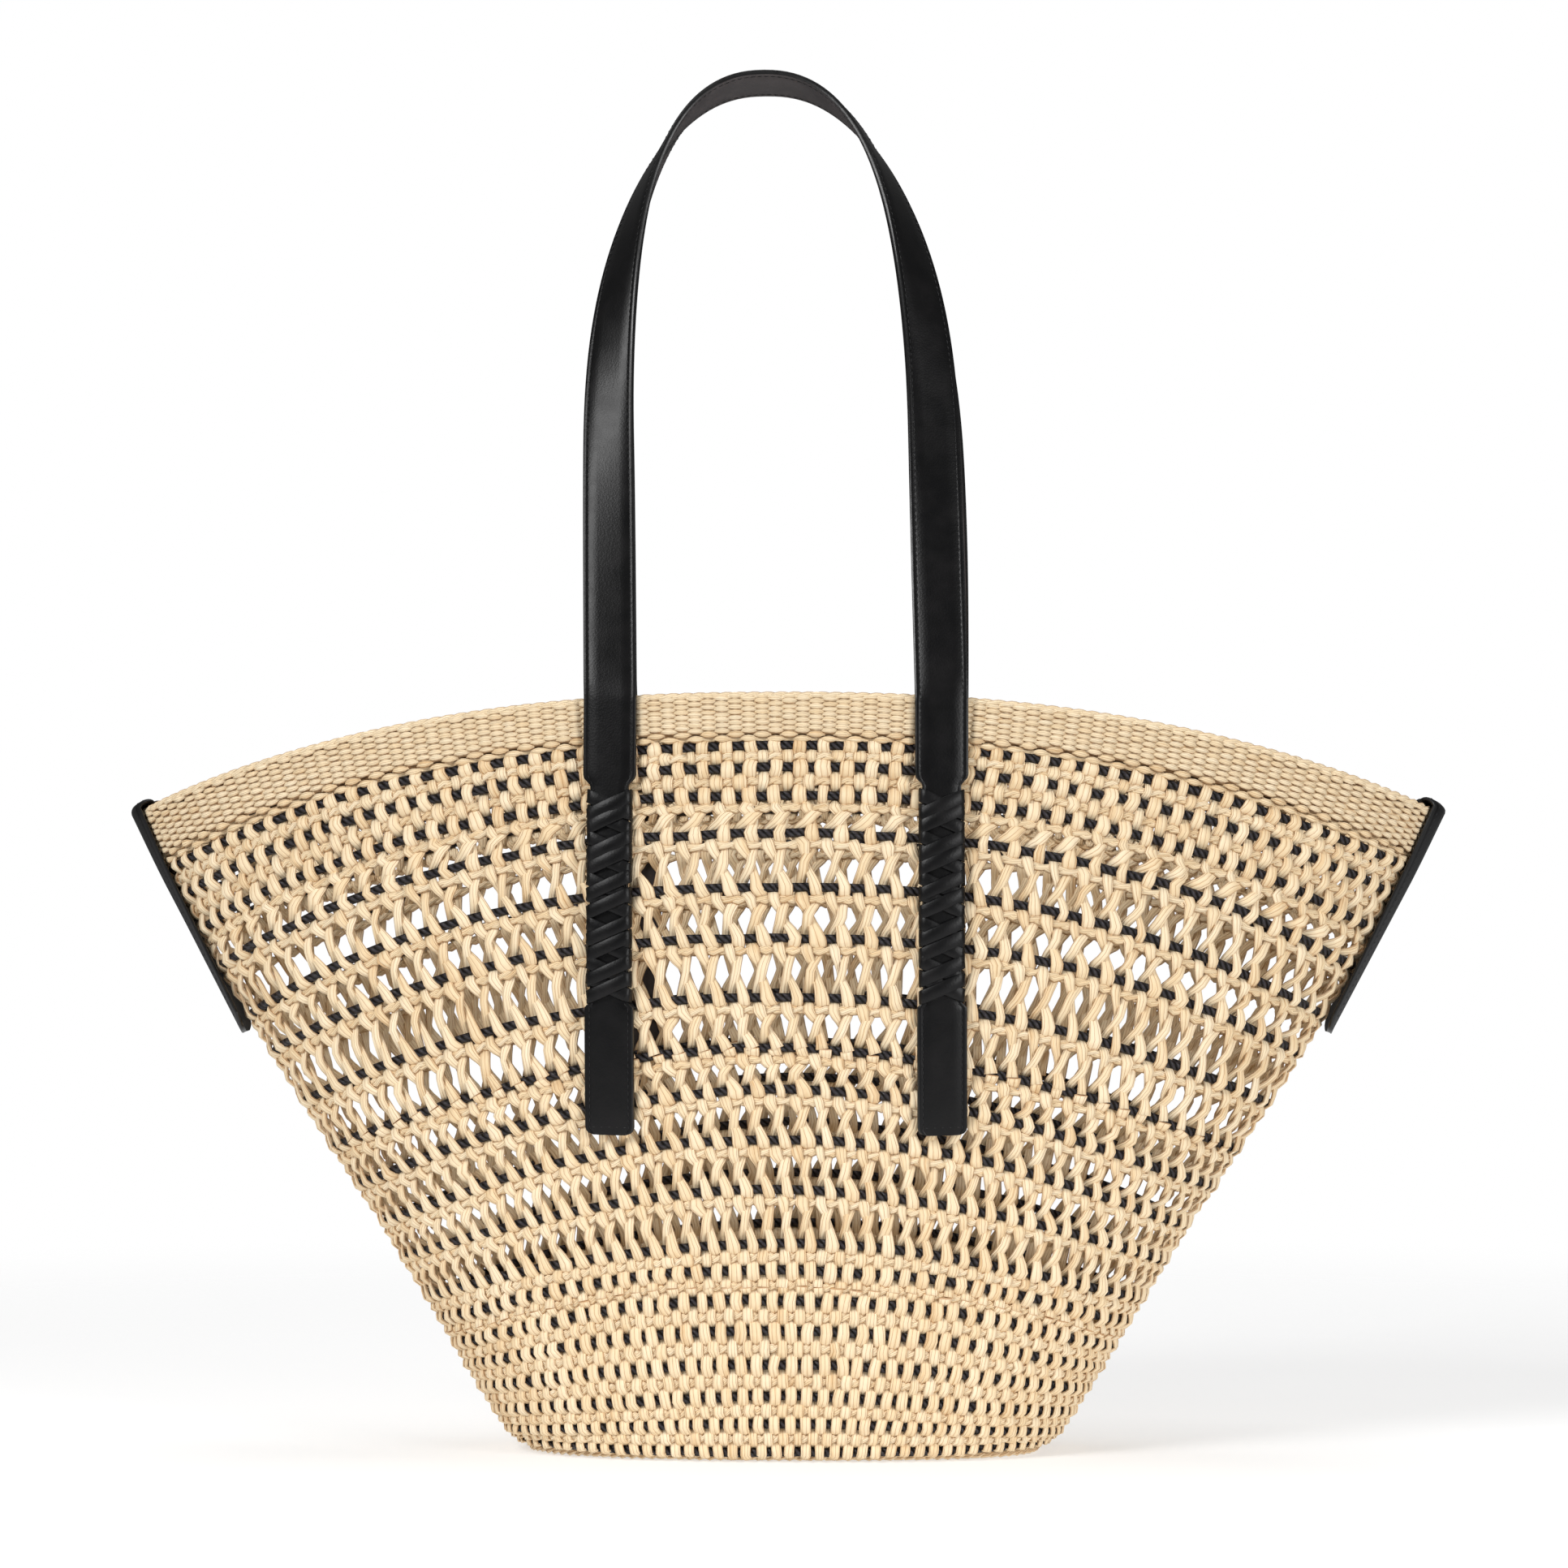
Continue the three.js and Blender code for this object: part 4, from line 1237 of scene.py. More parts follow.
@dataclass
class RimBand:
    """The twined band round the mouth: flat wefts that pass out and in between its columns."""

    form: BasketForm
    finishes: Finishes
    seam: float = 0.9345
    columns: int = 218
    squareness: float = 2.2
    middle: float = -2.0 * MM
    swing: float = 1.35 * MM
    row_pitch: float = 1.2 * MM
    row_height: float = 3.1 * MM
    row_thickness: float = 1.55 * MM
    coarse_pitch: float = 2.1 * MM
    coarse_height: float = 3.6 * MM
    coarse_rows: int = 2
    fine_rows: int = 14
    steps: int = 4
    flatness: float = 0.7
    level_spread: float = 0.00035
    swing_spread: float = 0.08
    height_spread: float = 0.05
    edge_drop: float = 1.9 * MM
    edge_rise: float = 0.55 * MM
    edge_reach: float = 0.75 * MM
    edge_width: float = 2.5 * MM
    edge_thickness: float = 2.3 * MM
    core_inset: float = 1.5 * MM
    core_thickness: float = 0.7 * MM

    def row(
        self, batch: StrandBatch, level: float, height: float, phase: float, draw: np.random.Generator
    ) -> None:
        """Adds one weft.

        Args:
            batch: The batch to add to.
            level: The weft's level.
            height: How tall it is where it shows.
            phase: 0 or 1, by which columns it passes outside.
            draw: Source of the small differences along it.
        """
        column = np.arange(self.columns * self.steps) / self.steps
        turn = column / self.columns
        wave = np.cos(math.pi * (column + phase))
        drawn = draw.normal(0, 1, self.columns)[(column + 0.5).astype(int) % self.columns]
        flat = np.sign(wave) * np.abs(wave) ** self.flatness
        lift = self.middle + self.swing * flat * (1 + self.swing_spread * drawn)
        centres, normals = self.form.place(turn, level + self.level_spread * drawn, lift)
        width = height * (0.5 + 0.5 * np.abs(wave)) * (1 + self.height_spread * drawn)
        batch.hoop(centres, normals, width, self.row_thickness, draw.uniform(0, 1, 1))

    def wefts(self) -> bpy.types.Object:
        """Makes all the band's wefts."""
        batch = StrandBatch(section_outline(sides=5, squareness=self.squareness))
        draw = Draws.RIM_WEFTS.start()
        level = self.seam + 0.5 * self.coarse_pitch / self.form.rise
        for number in range(self.coarse_rows):
            self.row(batch, level, self.coarse_height, number, draw)
            level += self.coarse_pitch / self.form.rise
        level += (self.row_pitch - self.coarse_pitch) / 2 / self.form.rise
        for number in range(self.fine_rows):
            self.row(batch, level, self.row_height, number, draw)
            level += self.row_pitch / self.form.rise
        return batch.build("rim_weave")

    def edge(self) -> bpy.types.Object:
        """Makes the rolled top edge and the straw core that the wefts hide."""
        batch = StrandBatch(section_outline(sides=6, squareness=ROUND))
        draw = Draws.RIM_EDGE.start()
        stations = self.columns * 3
        turn = np.arange(stations) / stations
        for ply in (0.0, 0.5):
            phase = TAU * (self.columns / 2 * turn + ply)
            level = 1 - (self.edge_drop - self.edge_rise * np.sin(phase)) / self.form.rise
            centres, normals = self.form.place(turn, level, self.middle + self.edge_reach * np.cos(phase))
            batch.hoop(centres, normals, self.edge_width, self.edge_thickness, draw.uniform(0, 1, 1))
        centres, normals = self.form.place(turn, np.array((self.seam + 1) / 2), np.array(self.middle))
        width = (1 - self.seam) * self.form.rise - 2 * self.core_inset
        batch.hoop(centres, normals, width, self.core_thickness, np.zeros(1))
        return batch.build("rim_edge")

    def build(self) -> None:
        """Makes and dresses the band."""
        for piece in (self.wefts(), self.edge()):
            dress(piece, RAFFIA_SLOT, self.finishes.raffia)
            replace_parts(piece, "rim_band")


@dataclass
class WovenBase:
    """The oval base: plaited rows laid side by side from the foot of the wall to the middle."""

    form: BasketForm
    finishes: Finishes
    squareness: float = 2.5
    first_inset: float = 7.4 * MM
    row_pitch: float = 4.25 * MM
    height: float = 2.25 * MM
    ply_reach: float = 1.0 * MM
    ply_width: float = 2.5 * MM
    station_length: float = 2.4 * MM
    twist_length: float = 9.0 * MM
    outline_points: int = 721
    lift: float = 0.95
    black_rows: tuple[int, ...] = (2, 6, 10)

    def rows(self, black: bool) -> StrandBatch:
        """Makes the straw rows or the black rows."""
        batch = StrandBatch(section_outline(sides=5, squareness=ROUND))
        draw = Draws.BASE.start()
        foot = self.form.face_point(np.array([0.0, math.pi / 2]), np.array([0.0, 0.0]))
        half_width, half_depth = foot[0, 0], foot[1, 1]
        count = int((half_depth - self.first_inset) / self.row_pitch) + 1
        for row in range(count):
            if (row in self.black_rows) != black:
                continue
            inset = self.first_inset + row * self.row_pitch
            a, b = half_width - inset, half_depth - inset
            turns = np.linspace(0, TAU, self.outline_points)
            line = np.stack(oval(turns, self.squareness), axis=1) * np.array([a, b])
            run = lengths(line)
            stations = int(run[-1] / self.station_length)
            even = run[-1] * np.arange(stations) / stations
            x = np.interp(even, run, line[:, 0])
            y = np.interp(even, run, line[:, 1])
            ahead = [np.roll(y, -1) - np.roll(y, 1), np.roll(x, 1) - np.roll(x, -1)]
            outward = unit(np.stack(ahead, axis=1))
            twists = max(4, round(run[-1] / self.twist_length))
            for ply in (0.0, 0.5):
                phase = TAU * (twists * even / run[-1] + ply)
                shift = outward * (self.ply_reach * np.cos(phase))[:, None]
                z = self.height + self.ply_reach * self.lift * np.sin(phase)
                centres = np.column_stack([x + shift[:, 0], y + shift[:, 1], z])
                normals = np.column_stack([np.zeros((stations, 2)), np.ones(stations)])
                width = self.ply_width
                batch.hoop(centres, normals, width, width * ROUND_CORD, draw.uniform(0, 1, 1))
        return batch

    def build(self) -> None:
        """Makes and dresses the base."""
        straw = dress(self.rows(False).build("base_straw"), RAFFIA_SLOT, self.finishes.raffia)
        black = dress(self.rows(True).build("base_cords"), RAFFIA_SLOT, self.finishes.cord)
        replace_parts(straw, "basket_base")
        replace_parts(black, "basket_base")


# Leather


@dataclass(frozen=True)
class Loop:
    """How a strap's loop stands: its right leg's lean, its legs' bow, its crown's sway, lift and twist."""

    lean: float = 0.0
    bow: float = 0.0
    sway: float = 0.0
    lift: float = 0.0
    twist: float = 91.0
    twist_power: float = 2.45


@dataclass
class StrapShape:
    """Sizes of a strap, its path over the rim, and where its widths change, in heights below the rim."""

    form: BasketForm
    width: float = 24 * MM
    thickness: float = 2.7 * MM
    seat: float = 0.6 * MM
    half_spacing: float = 74.2 * MM
    rise: float = 290.7 * MM
    arch_height: float = 182 * MM
    arch_squareness: float = 2.3
    crown_offset: float = 15.3 * MM
    front_loop: Loop = Loop(sway=-8.3 * MM)
    back_loop: Loop = Loop(13 * MM, 3 * MM, 8.3 * MM, 6.5 * MM, twist=97.0, twist_power=1.55)
    full_width_run: float = 36 * MM
    shoulder_run: float = 5.5 * MM
    neck_width: float = 17.5 * MM
    neck_run: float = 96 * MM
    tab_shoulder_run: float = 2.5 * MM
    tab_width: float = 22.4 * MM
    tab_run: float = 56.7 * MM
    tab_corner: float = 3.5 * MM
    seat_step: float = 3.2 * MM
    corner_room: float = 0.35
    straight_steps: int = 16
    arch_steps: int = 44

    def __post_init__(self) -> None:
        """Works out where the strap changes; turns holds heights below the rim and the widths there."""
        self.neck_top = self.full_width_run + self.shoulder_run
        self.neck_foot = self.neck_top + self.neck_run
        self.tab_top = self.neck_foot + self.tab_shoulder_run
        self.tab_foot = self.tab_top + self.tab_run
        self.top = float(self.form.face_point(self.form.front_angle(self.half_spacing, 1.0), 1.0)[2])
        corner = self.tab_corner
        shoulder = self.shoulder_run
        self.turns = np.array(
            [
                (0.0, self.width),
                (self.full_width_run, self.width),
                (self.full_width_run + 0.3 * shoulder, self.width - 0.8 * MM),
                (self.neck_top - 0.2 * shoulder, self.neck_width + 0.6 * MM),
                (self.neck_top, self.neck_width),
                (self.neck_foot, self.neck_width),
                (self.tab_top, self.tab_width),
                (self.tab_foot - corner, self.tab_width),
                (self.tab_foot - 0.55 * corner, self.tab_width - 0.22 * corner),
                (self.tab_foot - 0.2 * corner, self.tab_width - 0.8 * corner),
                (self.tab_foot, self.tab_width - 2 * corner),
            ]
        )

    def station(self, distance: float, lean: float = 0.0) -> tuple[np.ndarray, np.ndarray]:
        """Finds a leg's middle line on the wall.

        Args:
            distance: Height below the top of the rim.
            lean: How far the leg swings outwards there.

        Returns:
            The point and the way the strap faces.
        """
        x = self.half_spacing + lean
        level = self.form.front_level(x, self.top - distance) if distance > 0 else 1.0
        angle = self.form.front_angle(x, level)
        return (
            self.form.offset_point(angle, level, self.seat + self.thickness / 2),
            self.form.face_normal(angle, level),
        )

    def width_at(self, distance: float) -> float:
        """Gives the strap's width at a height below the rim."""
        return float(np.interp(distance, self.turns[:, 0], self.turns[:, 1]))

    def half_path(self, loop: Loop) -> tuple[np.ndarray, np.ndarray, np.ndarray]:
        """Follows the right half from its end on the wall to the crown.

        Args:
            loop: How the loop stands.

        Returns:
            Centres, facings and widths of its stations.
        """
        corners = self.turns[1:-1, 0]
        even = np.linspace(self.tab_foot, 0, round(self.tab_foot / self.seat_step) + 1)
        room = self.corner_room * self.seat_step
        kept = [d for d in even if min(abs(d - corners)) > room or d in (even[0], 0)]
        distances = sorted([*kept, *corners], reverse=True)
        seat = [self.station(d, loop.lean * max(0.0, 1 - d / self.full_width_run)) for d in distances]
        centres = [point for point, _ in seat]
        facings = [facing for _, facing in seat]
        widths = [self.width_at(distance) for distance in distances]
        foot = self.station(0.0)[0]
        crown = np.array([foot[0], -self.crown_offset, foot[2] + self.rise + loop.lift])
        upward = crown - foot
        length = float(np.linalg.norm(upward))
        upward = upward / length
        forward = -np.cross(upward, np.array([1.0, 0.0, 0.0]))
        straight = length - self.arch_height
        power = 2 / self.arch_squareness
        points = [foot + upward * straight * k / self.straight_steps for k in range(1, self.straight_steps)]
        for k in range(self.arch_steps + 1):
            turn = math.pi / 2 * k / self.arch_steps
            x = 0.0 if k == self.arch_steps else foot[0] * abs(math.cos(turn)) ** power
            height = straight + self.arch_height * math.sin(turn) ** power
            points.append(np.array([x, foot[1], foot[2]]) + upward * height)
        points = np.array(points)
        share = (points - foot) @ upward / length
        points[:, 0] += loop.lean * (1 - share) + loop.bow * np.sin(math.pi * share) + loop.sway * share
        path = np.vstack([centres[-1:], points])
        mirrored = path[-2] * np.array([-1, 1, 1]) + np.array([2 * loop.sway, 0, 0])
        ahead = np.vstack([path[1:], mirrored]) - np.vstack([path[:1], path[:-1]])
        run = lengths(path)
        for k in range(1, len(path)):
            outward = unit(np.cross(unit(ahead[k]), forward))
            if outward[0] + outward[2] < 0:
                outward = -outward
            late = (run[k] / run[-1]) ** loop.twist_power
            twist = math.radians(loop.twist) * math.sin(math.pi / 2 * late)
            centres.append(path[k])
            facings.append(forward * math.cos(twist) + outward * math.sin(twist))
            widths.append(self.width)
        return np.array(centres), np.array(facings), np.array(widths)


def frames(centres: np.ndarray, facings: np.ndarray) -> tuple[np.ndarray, np.ndarray]:
    """Finds the crosswise and outward directions along a path.

    Args:
        centres: Points of the path.
        facings: Directions that its face looks in.

    Returns:
        Unit vectors across the path and out of its face.
    """
    ahead = unit(np.gradient(centres, axis=0))
    across = unit(np.cross(ahead, facings))
    return across, unit(np.cross(across, ahead))


@dataclass
class Strap:
    """A leather carrying strap: one band over the mouth with a laced neck and an end tab on each leg."""

    shape: StrapShape
    finishes: Finishes
    side: Side
    rounding: float = 0.8 * MM
    crown: float = 0.12 * MM
    groove: float = 0.22 * MM
    groove_half: float = 0.5 * MM
    inset: float = 2.4 * MM
    neck_inset: float = 1.5 * MM
    stitch_pitch: float = 3.1 * MM
    stitch_length: float = 2.2 * MM
    stitch_width: float = 0.5 * MM
    stitch_sink: float = 0.02 * MM
    crown_start: float = 0.4
    end_points: int = 8
    stitch_rises: tuple[float, float, float] = (-0.32, 0.12, -0.32)
    stitch_swell: tuple[float, float, float] = (0.45, 1.0, 0.45)
    stitch_flatness: float = 0.9

    def __post_init__(self) -> None:
        """Names the strap after its side."""
        self.name = f"{self.side.name.lower()}_strap"

    def turned(self, points: np.ndarray) -> np.ndarray:
        """Turns points to the strap's side of the bag."""
        sign = self.side.value
        return points * np.array([sign, sign, 1])

    def inset_at(self, width: np.ndarray | float) -> np.ndarray:
        """Gives the stitches' distance from the edge at these widths."""
        return np.where(width > self.shape.neck_width + 1 * MM, self.inset, self.neck_inset)

    def outline(self, width: float) -> np.ndarray:
        """Draws the strap's section.

        Args:
            width: Its width.

        Returns:
            Points across and out, round the section.
        """
        w, t, r, g = width / 2, self.shape.thickness / 2, self.rounding, self.groove_half
        inset = self.inset_at(width)
        face = [
            (-w, t - r),
            (-w + CORNER_CUT * r, t - CORNER_CUT * r),
            (-w + r, t),
            (-w + inset - g, t),
            (-w + inset, t - self.groove),
            (-w + inset + g, t),
            (-w * self.crown_start, t + self.crown),
        ]
        upper = [*face, (0.0, t + self.crown), *[(-u, q) for u, q in reversed(face)]]
        return np.array([*upper, *[(-u, -q) for u, q in upper]])

    def path(self) -> tuple[np.ndarray, np.ndarray, np.ndarray]:
        """Joins the right half with its mirror image."""
        loop = self.shape.front_loop if self.side is Side.FRONT else self.shape.back_loop
        centres, facings, widths = self.shape.half_path(loop)
        mirrored = replace(loop, lean=0.0, sway=-loop.sway)
        left_centres, left_facings, left_widths = self.shape.half_path(mirrored)
        flip = np.array([-1, 1, 1])
        return (
            self.turned(np.vstack([centres, left_centres[-2::-1] * flip])),
            self.turned(np.vstack([facings, left_facings[-2::-1] * flip])),
            np.concatenate([widths, left_widths[-2::-1]]),
        )

    def band(self) -> bpy.types.Object:
        """Makes the strap's body."""
        centres, facings, widths = self.path()
        across, out = frames(centres, facings)
        rings = []
        for centre, side, up, width in zip(centres, across, out, widths):
            section = self.outline(width)
            rings.append(centre + section[:, :1] * side + section[:, 1:] * up)
        half = len(rings[0]) // 2
        edges = (0, 1, half - 2, half - 1, half, half + 1, 2 * half - 2, 2 * half - 1)
        loft = Loft()
        loft.add(rings, edge_slots=edges, inner_slots=tuple(range(half + 2, 2 * half - 2)))
        return loft.build(f"{self.name}_leather")

    def seams(self) -> bpy.types.Object:
        """Sews a line of stitches near each edge of both faces, and one across each end."""
        centres, facings, widths = self.path()
        across, out = frames(centres, facings)
        inset = self.inset_at(widths)
        batch = StrandBatch(section_outline(sides=4, squareness=ROUND))
        proud = self.shape.thickness / 2 - self.stitch_sink
        lines = []
        for edge in (-1, 1):
            for face in (-1, 1):
                line = centres + across * (edge * (widths / 2 - inset))[:, None] + out * (face * proud)
                lines.append((line[2:-2], face * out[2:-2]))
        share = np.linspace(-1, 1, self.end_points)[:, None]
        for end in (3, -4):
            half = widths[end] / 2 - self.inset
            line = centres[end] + across[end] * half * share + out[end] * proud
            lines.append((line, np.tile(out[end], (len(line), 1))))
        for line, normals in lines:
            self.sew(batch, line, normals)
        return batch.build(f"{self.name}_stitches")

    def sew(self, batch: StrandBatch, line: np.ndarray, normals: np.ndarray) -> None:
        """Lays stitches along a line.

        Args:
            batch: The batch to add to.
            line: Points of the line.
            normals: Directions out of the leather there.
        """
        run = lengths(line)
        count = int(run[-1] / self.stitch_pitch)
        middles = (np.arange(count) + 0.5) * run[-1] / count
        at = middles[:, None] + np.array([-0.5, 0, 0.5]) * self.stitch_length
        points = np.stack([np.interp(at, run, line[:, k]) for k in range(3)], axis=-1)
        facing = np.stack([np.interp(at, run, normals[:, k]) for k in range(3)], axis=-1)
        sink = np.array(self.stitch_rises) * self.stitch_width
        widths = np.broadcast_to(np.array(self.stitch_swell) * self.stitch_width, (count, 3))
        thicknesses = widths * self.stitch_flatness
        batch.add(points + facing * sink[:, None], facing, widths, thicknesses, np.zeros(count))

    def build(self) -> None:
        """Makes and dresses the strap."""
        looks = (self.finishes.leather, self.finishes.edge, self.finishes.lining)
        band = dress(self.band(), LEATHER_SLOT, *looks)
        seams = dress(self.seams(), LEATHER_SLOT, self.finishes.thread)
        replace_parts(band, self.name)
        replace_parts(seams, self.name)


@dataclass
class Lacing:
    """A thong laced criss-cross round the neck of a strap's leg."""

    shape: StrapShape
    finishes: Finishes
    side: Side
    leg: int
    letter: str
    thong_width: float = 6.1 * MM
    thong_thickness: float = 1.15 * MM
    rounding: float = 0.35 * MM
    crown: float = 0.1 * MM
    spread: float = 0.5 * MM
    second_lift: float = 0.95
    crease: float = 60.0
    clearance: float = 0.3 * MM
    groups: int = 5
    group_pitch: float = 18.6 * MM
    first_run: float = 3.4 * MM
    band_pitch: float = 7.0 * MM
    band_rise: float = 9.0 * MM

    def place(self, distance: float, across: float, out: float) -> np.ndarray:
        """Finds a point near the strap's neck.

        Args:
            distance: Height below the top of the rim.
            across: Distance across from the strap's middle.
            out: Distance out from its middle.

        Returns:
            The point.
        """
        centre, facing = self.shape.station(distance)
        below, _ = self.shape.station(distance + 1 * MM)
        up = unit(centre - below)
        side = unit(np.cross(up, facing))
        spot = centre + side * across * self.leg + facing * out
        sign = self.side.value
        return spot * np.array([self.leg * sign, sign, 1])

    def band(self, loft: Loft, start: float, finish: float, lift: float) -> None:
        """Runs one band of the thong over the neck.

        Args:
            loft: The skin to add to.
            start: Height below the rim at the left edge.
            finish: Height below the rim at the right edge.
            lift: How far its middle rises over the band below it.
        """
        edge = self.shape.neck_width / 2 + self.clearance + self.thong_thickness / 2
        face = self.shape.thickness / 2 + self.clearance + self.thong_thickness / 2
        back = -self.shape.thickness / 2 - self.shape.seat + self.clearance
        # Across, out, share of the way to the other edge, and the way the band faces, across and out.
        half = [
            (-edge - 0.02 * MM, back, 0.0, -1.0, 0.0),
            (-edge - 0.02 * MM, 0.0, 0.02, -1.0, 0.0),
            (-edge + 0.35 * MM, face - 0.45 * MM, 0.06, -0.7, 0.7),
            (-edge * 0.82, face + 0.05 * MM, 0.12, -0.15, 1.0),
            (-edge * 0.5, face + lift * 0.62, 0.26, 0.0, 1.0),
            (-edge * 0.2, face + lift, 0.4, 0.0, 1.0),
        ]
        stops = [*half, *[(-u, q, 1 - s, -du, dq) for u, q, s, du, dq in reversed(half)]]
        heights = [start + (finish - start) * s for _, _, s, _, _ in stops]
        centres = np.array([self.place(h, u, q) for h, (u, q, _, _, _) in zip(heights, stops)])
        ends = [self.place(h, u + MM * du, q + MM * dq) for h, (u, q, _, du, dq) in zip(heights, stops)]
        across, out = frames(centres, unit(np.array(ends) - centres))
        w, t, r = self.thong_width / 2, self.thong_thickness / 2, self.rounding
        half = [(-w, 0.0), (-w + 0.3 * r, t - r * 0.5), (-w + r, t), (0.0, t + self.crown), (w - r, t)]
        half.append((w - 0.3 * r, t - r * 0.5))
        section = np.array([*half, *[(-u, -q) for u, q in half]])
        rings = [c + section[:, :1] * a + section[:, 1:] * o for c, a, o in zip(centres, across, out)]
        loft.add(rings)

    def build(self) -> None:
        """Makes and dresses the lacing."""
        loft = Loft()
        draw = Draws.THONGS.start()
        lift = self.thong_thickness * self.second_lift
        for k in range(self.groups):
            for turn in range(2):
                top = self.shape.neck_top + self.first_run + k * self.group_pitch + turn * self.band_pitch
                shift = draw.normal(0, self.spread, 2)
                self.band(loft, top + shift[0], top + self.band_rise + shift[0], 0.0)
                self.band(loft, top + self.band_rise + shift[1], top + shift[1], lift)
        place = self.side.name.lower()
        thong = loft.build(f"{place}_thong_{self.letter}", self.crease)
        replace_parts(dress(thong, LEATHER_SLOT, self.finishes.thong), f"{place}_lacing_{self.letter}")


@dataclass
class SideTab:
    """A leather tab over one end of the rim: a flap inside, a bend over the top and a leaf outside."""

    form: BasketForm
    finishes: Finishes
    node: str
    turn: int
    width: float = 28 * MM
    thickness: float = 2.3 * MM
    seat: float = 0.8 * MM
    rim_thickness: float = 4 * MM
    hug_run: float = 27 * MM
    leaf_run: float = 80 * MM
    standoff: float = 3.2 * MM
    flattening: float = 0.6
    flap_run: float = 19 * MM
    end_rounding: float = 9 * MM
    edge_rounding: float = 0.6 * MM
    bulge: float = 0.35
    stitch_inset: float = 2.4 * MM
    bends: int = 9
    hugs: int = 6
    leaf_steps: int = 11
    halvings: int = 24
    leaf_rows: int = 8
    columns: tuple[float, ...] = (-1, -0.93, -0.82, -0.5, 0, 0.5, 0.82, 0.93, 1)

    def leaf_direction(self, root: np.ndarray, root_level: float) -> np.ndarray:
        """Aims the leaf from the rim to its stand-off outside the wall.

        Args:
            root: Where the leaf leaves the rim.
            root_level: Level of that point.

        Returns:
            The unit direction down the leaf.
        """
        near, far = root_level, 0.0
        for _ in range(self.halvings):
            middle = (near + far) / 2
            reach = self.form.offset_point(0.0, middle, self.standoff + self.thickness / 2) - root
            near, far = (middle, far) if np.linalg.norm(reach) < self.leaf_run else (near, middle)
        return unit(self.form.offset_point(0.0, near, self.standoff + self.thickness / 2) - root)

    def grid(self, columns: np.ndarray) -> np.ndarray:
        """Lays out the tab's middle surface.

        Args:
            columns: Shares of the half width, from one edge to the other.

        Returns:
            Points by station and column.
        """
        out = self.seat + self.thickness / 2
        inside = -self.rim_thickness - out
        half = self.width / 2
        hug = 1 - self.hug_run / self.form.rise
        flap = 1 - self.flap_run / self.form.rise
        down = self.leaf_direction(self.form.offset_point(0.0, hug, out), hug)
        rows = []

        def follow(width: float, level: float, distance: float) -> None:
            """Adds a station on the rim's own surface."""
            angles = [self.form.end_angle(s * width, level) for s in columns]
            rows.append([self.form.offset_point(angle, level, distance) for angle in angles])

        start = ((0.0, 0.55), (0.06, 0.78), (0.16, 0.94), (0.3, 1.0), (0.55, 1.0), (0.8, 1.0), (1.0, 1.0))
        for share, width in start:
            follow(half * width, flap + (1 - flap) * share, inside)
        for k in range(1, self.bends):
            turn = math.pi * k / self.bends
            row = []
            for s in columns:
                angle = self.form.end_angle(s * half, 1.0)
                normal = self.form.face_normal(angle, 1.0)
                rise = unit(np.array([0, 0, 1.0]) - normal[2] * normal)
                base = self.form.offset_point(angle, 1.0, -self.rim_thickness / 2)
                reach = -math.cos(turn) * (self.rim_thickness / 2 + out)
                row.append(base + normal * reach + rise * math.sin(turn) * out)
            rows.append(row)
        for k in range(self.hugs + 1):
            follow(half, 1 - k / self.hugs * (1 - hug), out)
        end = self.end_rounding / self.leaf_run
        ends = ((1.0, 1.0), (0.7, 0.97), (0.4, 0.87), (0.2, 0.74), (0.07, 0.55), (0.0, 0.35))
        leaf = [(share, 1.0) for share in np.linspace(0, 1 - end, self.leaf_steps)[1:-1]]
        leaf += [(1 - rest * end, width) for rest, width in ends]
        middle = self.form.offset_point(0.0, hug, out)
        for share, width in leaf:
            row = []
            for s in columns:
                root = self.form.offset_point(self.form.end_angle(s * width * half, hug), hug, out)
                root[0] += (middle[0] - root[0]) * share * self.flattening
                row.append(root + down * share * self.leaf_run)
            rows.append(row)
        return np.array(rows)

    def skin(self) -> bpy.types.Object:
        """Makes the leather."""
        columns = np.array(self.columns)
        grid = self.grid(columns)
        along = np.gradient(grid, axis=0)
        aside = np.gradient(grid, axis=1)
        normals = unit(np.cross(along, aside))
        half = self.thickness / 2
        bulge = self.bulge * self.edge_rounding
        rings = []
        for row, normal, side in zip(grid, normals, aside):
            offsets = np.full(len(columns), half)
            offsets[[0, -1]] = half - self.edge_rounding
            outer = row + normal * offsets[:, None]
            inner = row - normal * offsets[:, None]
            right = row[-1:] + unit(side[-1:]) * bulge
            left = row[:1] - unit(side[:1]) * bulge
            rings.append(np.vstack([outer, right, inner[::-1], left]) * np.array([self.turn, self.turn, 1]))
        count = len(columns)
        loft = Loft()
        loft.add(rings, (0, count - 2, count - 1, count, count + 1, 2 * count - 1, 2 * count, 2 * count + 1))
        return loft.build(f"{self.node}_leather")

    def seams(self, sew: Strap) -> bpy.types.Object:
        """Sews a line near each long edge, with a strap's own stitches.

        Args:
            sew: The strap whose stitches are used.

        Returns:
            The stitches.
        """
        share = 1 - self.stitch_inset / (self.width / 2)
        grid = self.grid(np.array([-1, -share, 0, share, 1]))
        normals = unit(np.cross(np.gradient(grid, axis=0), np.gradient(grid, axis=1)))
        middle = grid.mean(axis=(0, 1))
        outward = np.sign(((grid - middle) * normals)[-self.leaf_rows :].sum())
        batch = StrandBatch(section_outline(sides=4, squareness=ROUND))
        spin = np.array([self.turn, self.turn, 1])
        for column in (1, 3):
            line = grid[2:-4, column]
            facing = normals[2:-4, column] * outward
            sew.sew(batch, (line + facing * self.thickness / 2) * spin, facing * spin)
        return batch.build(f"{self.node}_leather_stitches")

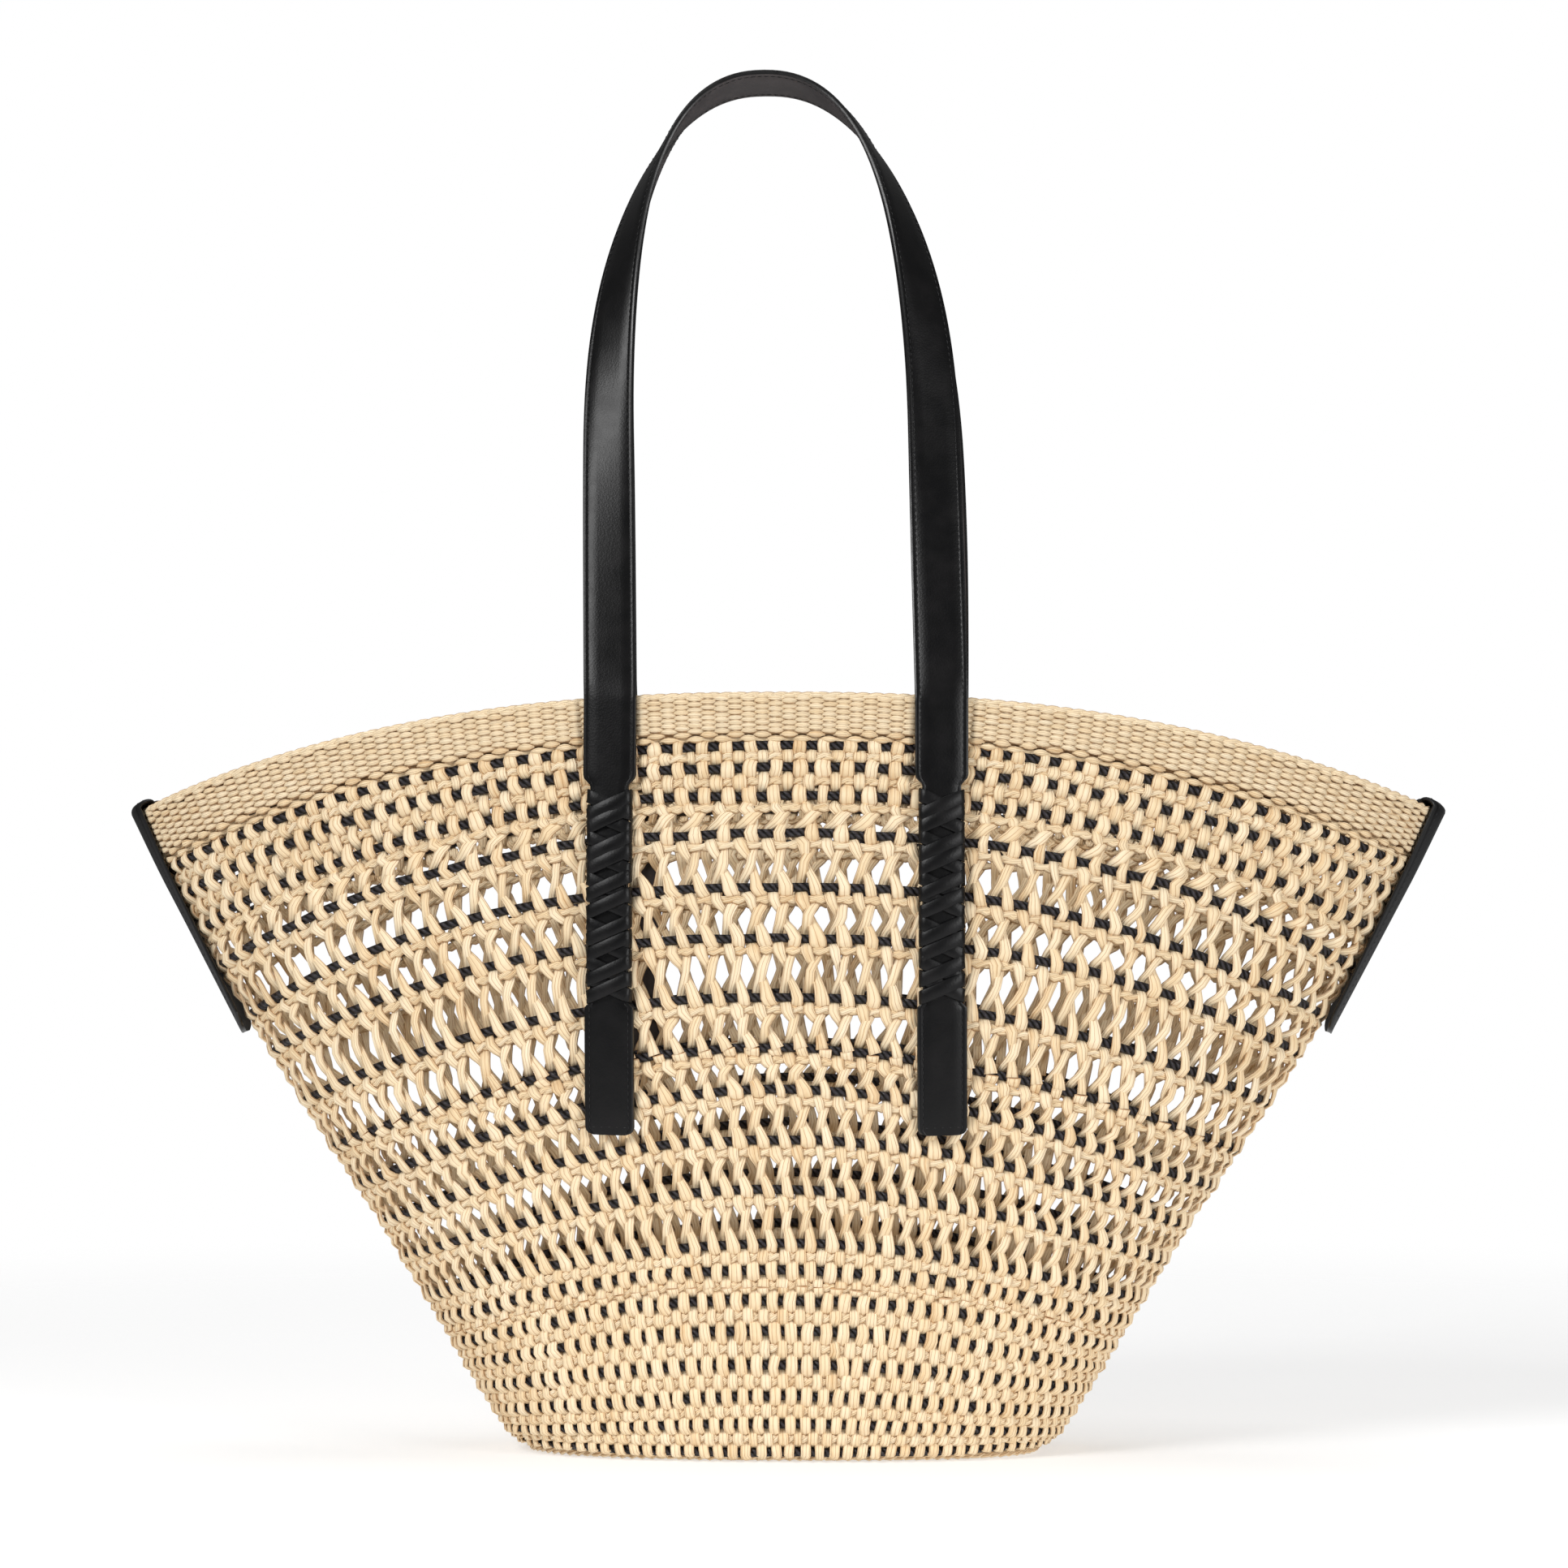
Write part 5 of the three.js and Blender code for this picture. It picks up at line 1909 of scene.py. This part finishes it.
    def build(self, sew: Strap) -> None:
        """Makes and dresses the tab."""
        skin = dress(self.skin(), LEATHER_SLOT, self.finishes.leather, self.finishes.edge)
        seams = dress(self.seams(sew), LEATHER_SLOT, self.finishes.thread)
        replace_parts(skin, self.node)
        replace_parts(seams, self.node)


# Surroundings


@dataclass
class Studio:
    """Camera, lights and floor."""

    camera_place: tuple[float, float, float] = (0.0872, -1.998, 0.232)
    target: tuple[float, float, float] = (0.0, 0.0, 0.3095)
    lens: float = 98.1
    sensor_width: float = 36.0
    clips: tuple[float, float] = (0.05, 60.0)
    light_target: tuple[float, float, float] = (0.0, 0.0, 0.28)
    lights: tuple[tuple[str, tuple[float, float, float], float, float], ...] = (
        ("key", (-1.7, -2.1, 1.9), 1.3, 66.0),
        ("fill", (2.0, -1.9, 0.75), 1.3, 40.0),
        ("top", (0.1, 0.3, 2.6), 1.5, 24.0),
    )
    backdrop: float = 1.0
    fill: float = 0.14
    floor_radius: float = 2.0
    floor_sides: int = 96

    def aim(self, thing: bpy.types.Object, target: tuple[float, float, float]) -> None:
        """Points a camera or light at a target."""
        thing.rotation_euler = (Vector(target) - thing.location).to_track_quat("-Z", "Y").to_euler()

    def camera(self) -> None:
        """Makes the camera."""
        data = bpy.data.cameras.new("camera")
        data.lens = self.lens
        data.sensor_width = self.sensor_width
        data.clip_start, data.clip_end = self.clips
        camera = placed(data)
        camera.location = self.camera_place
        self.aim(camera, self.target)
        bpy.context.scene.camera = camera

    def light(self, name: str, place: tuple[float, float, float], size: float, power: float) -> None:
        """Adds a soft square light that faces the bag.

        Args:
            name: The light's name.
            place: Where it stands.
            size: Length of its side.
            power: Its power in watts.
        """
        data = bpy.data.lights.new(name, "AREA")
        data.shape = "SQUARE"
        data.size = size
        data.energy = power
        light = placed(data)
        light.location = place
        self.aim(light, self.light_target)

    def world(self) -> None:
        """Makes a white backdrop whose light on the bag is softer than it looks."""
        world = bpy.data.worlds.new("backdrop")
        world.use_nodes = True
        tree = world.node_tree
        background = tree.nodes["Background"]
        background.inputs["Color"].default_value = (1, 1, 1, 1)
        path = tree.nodes.new("ShaderNodeLightPath")
        strength = tree.nodes.new("ShaderNodeMix")
        strength.inputs[2].default_value = self.fill
        strength.inputs[3].default_value = self.backdrop
        tree.links.new(path.outputs["Is Camera Ray"], strength.inputs[0])
        tree.links.new(strength.outputs[0], background.inputs["Strength"])
        bpy.context.scene.world = world

    def floor(self) -> None:
        """Lays the floor."""
        grid = bmesh.new()
        bmesh.ops.create_circle(grid, cap_ends=True, radius=self.floor_radius, segments=self.floor_sides)
        mesh = bpy.data.meshes.new("floor")
        grid.to_mesh(mesh)
        grid.free()
        mesh.materials.append(FloorFinish().material())
        placed(mesh)

    def build(self) -> None:
        """Sets up the studio."""
        self.camera()
        self.world()
        self.floor()
        for name, place, size, power in self.lights:
            self.light(name, place, size, power)
        scene = bpy.context.scene
        scene.view_settings.view_transform = "Standard"
        scene.view_settings.look = "None"


def main() -> None:
    """Builds the bag and the studio round it."""
    form = BasketForm()
    finishes = Finishes()
    Studio().build()
    WovenWall(form, finishes).build()
    RimBand(form, finishes).build()
    WovenBase(form, finishes).build()
    shape = StrapShape(form)
    straps = [Strap(shape, finishes, side) for side in Side]
    for strap in straps:
        strap.build()
        for leg, letter in ((1, "a"), (-1, "b")):
            Lacing(shape, finishes, strap.side, leg, letter).build()
    for turn, node in ((1, "right_tab"), (-1, "left_tab")):
        SideTab(form, finishes, node, turn).build(straps[0])


if __name__ == "__main__":
    logging.basicConfig(level=logging.INFO, format="%(message)s")
    main()
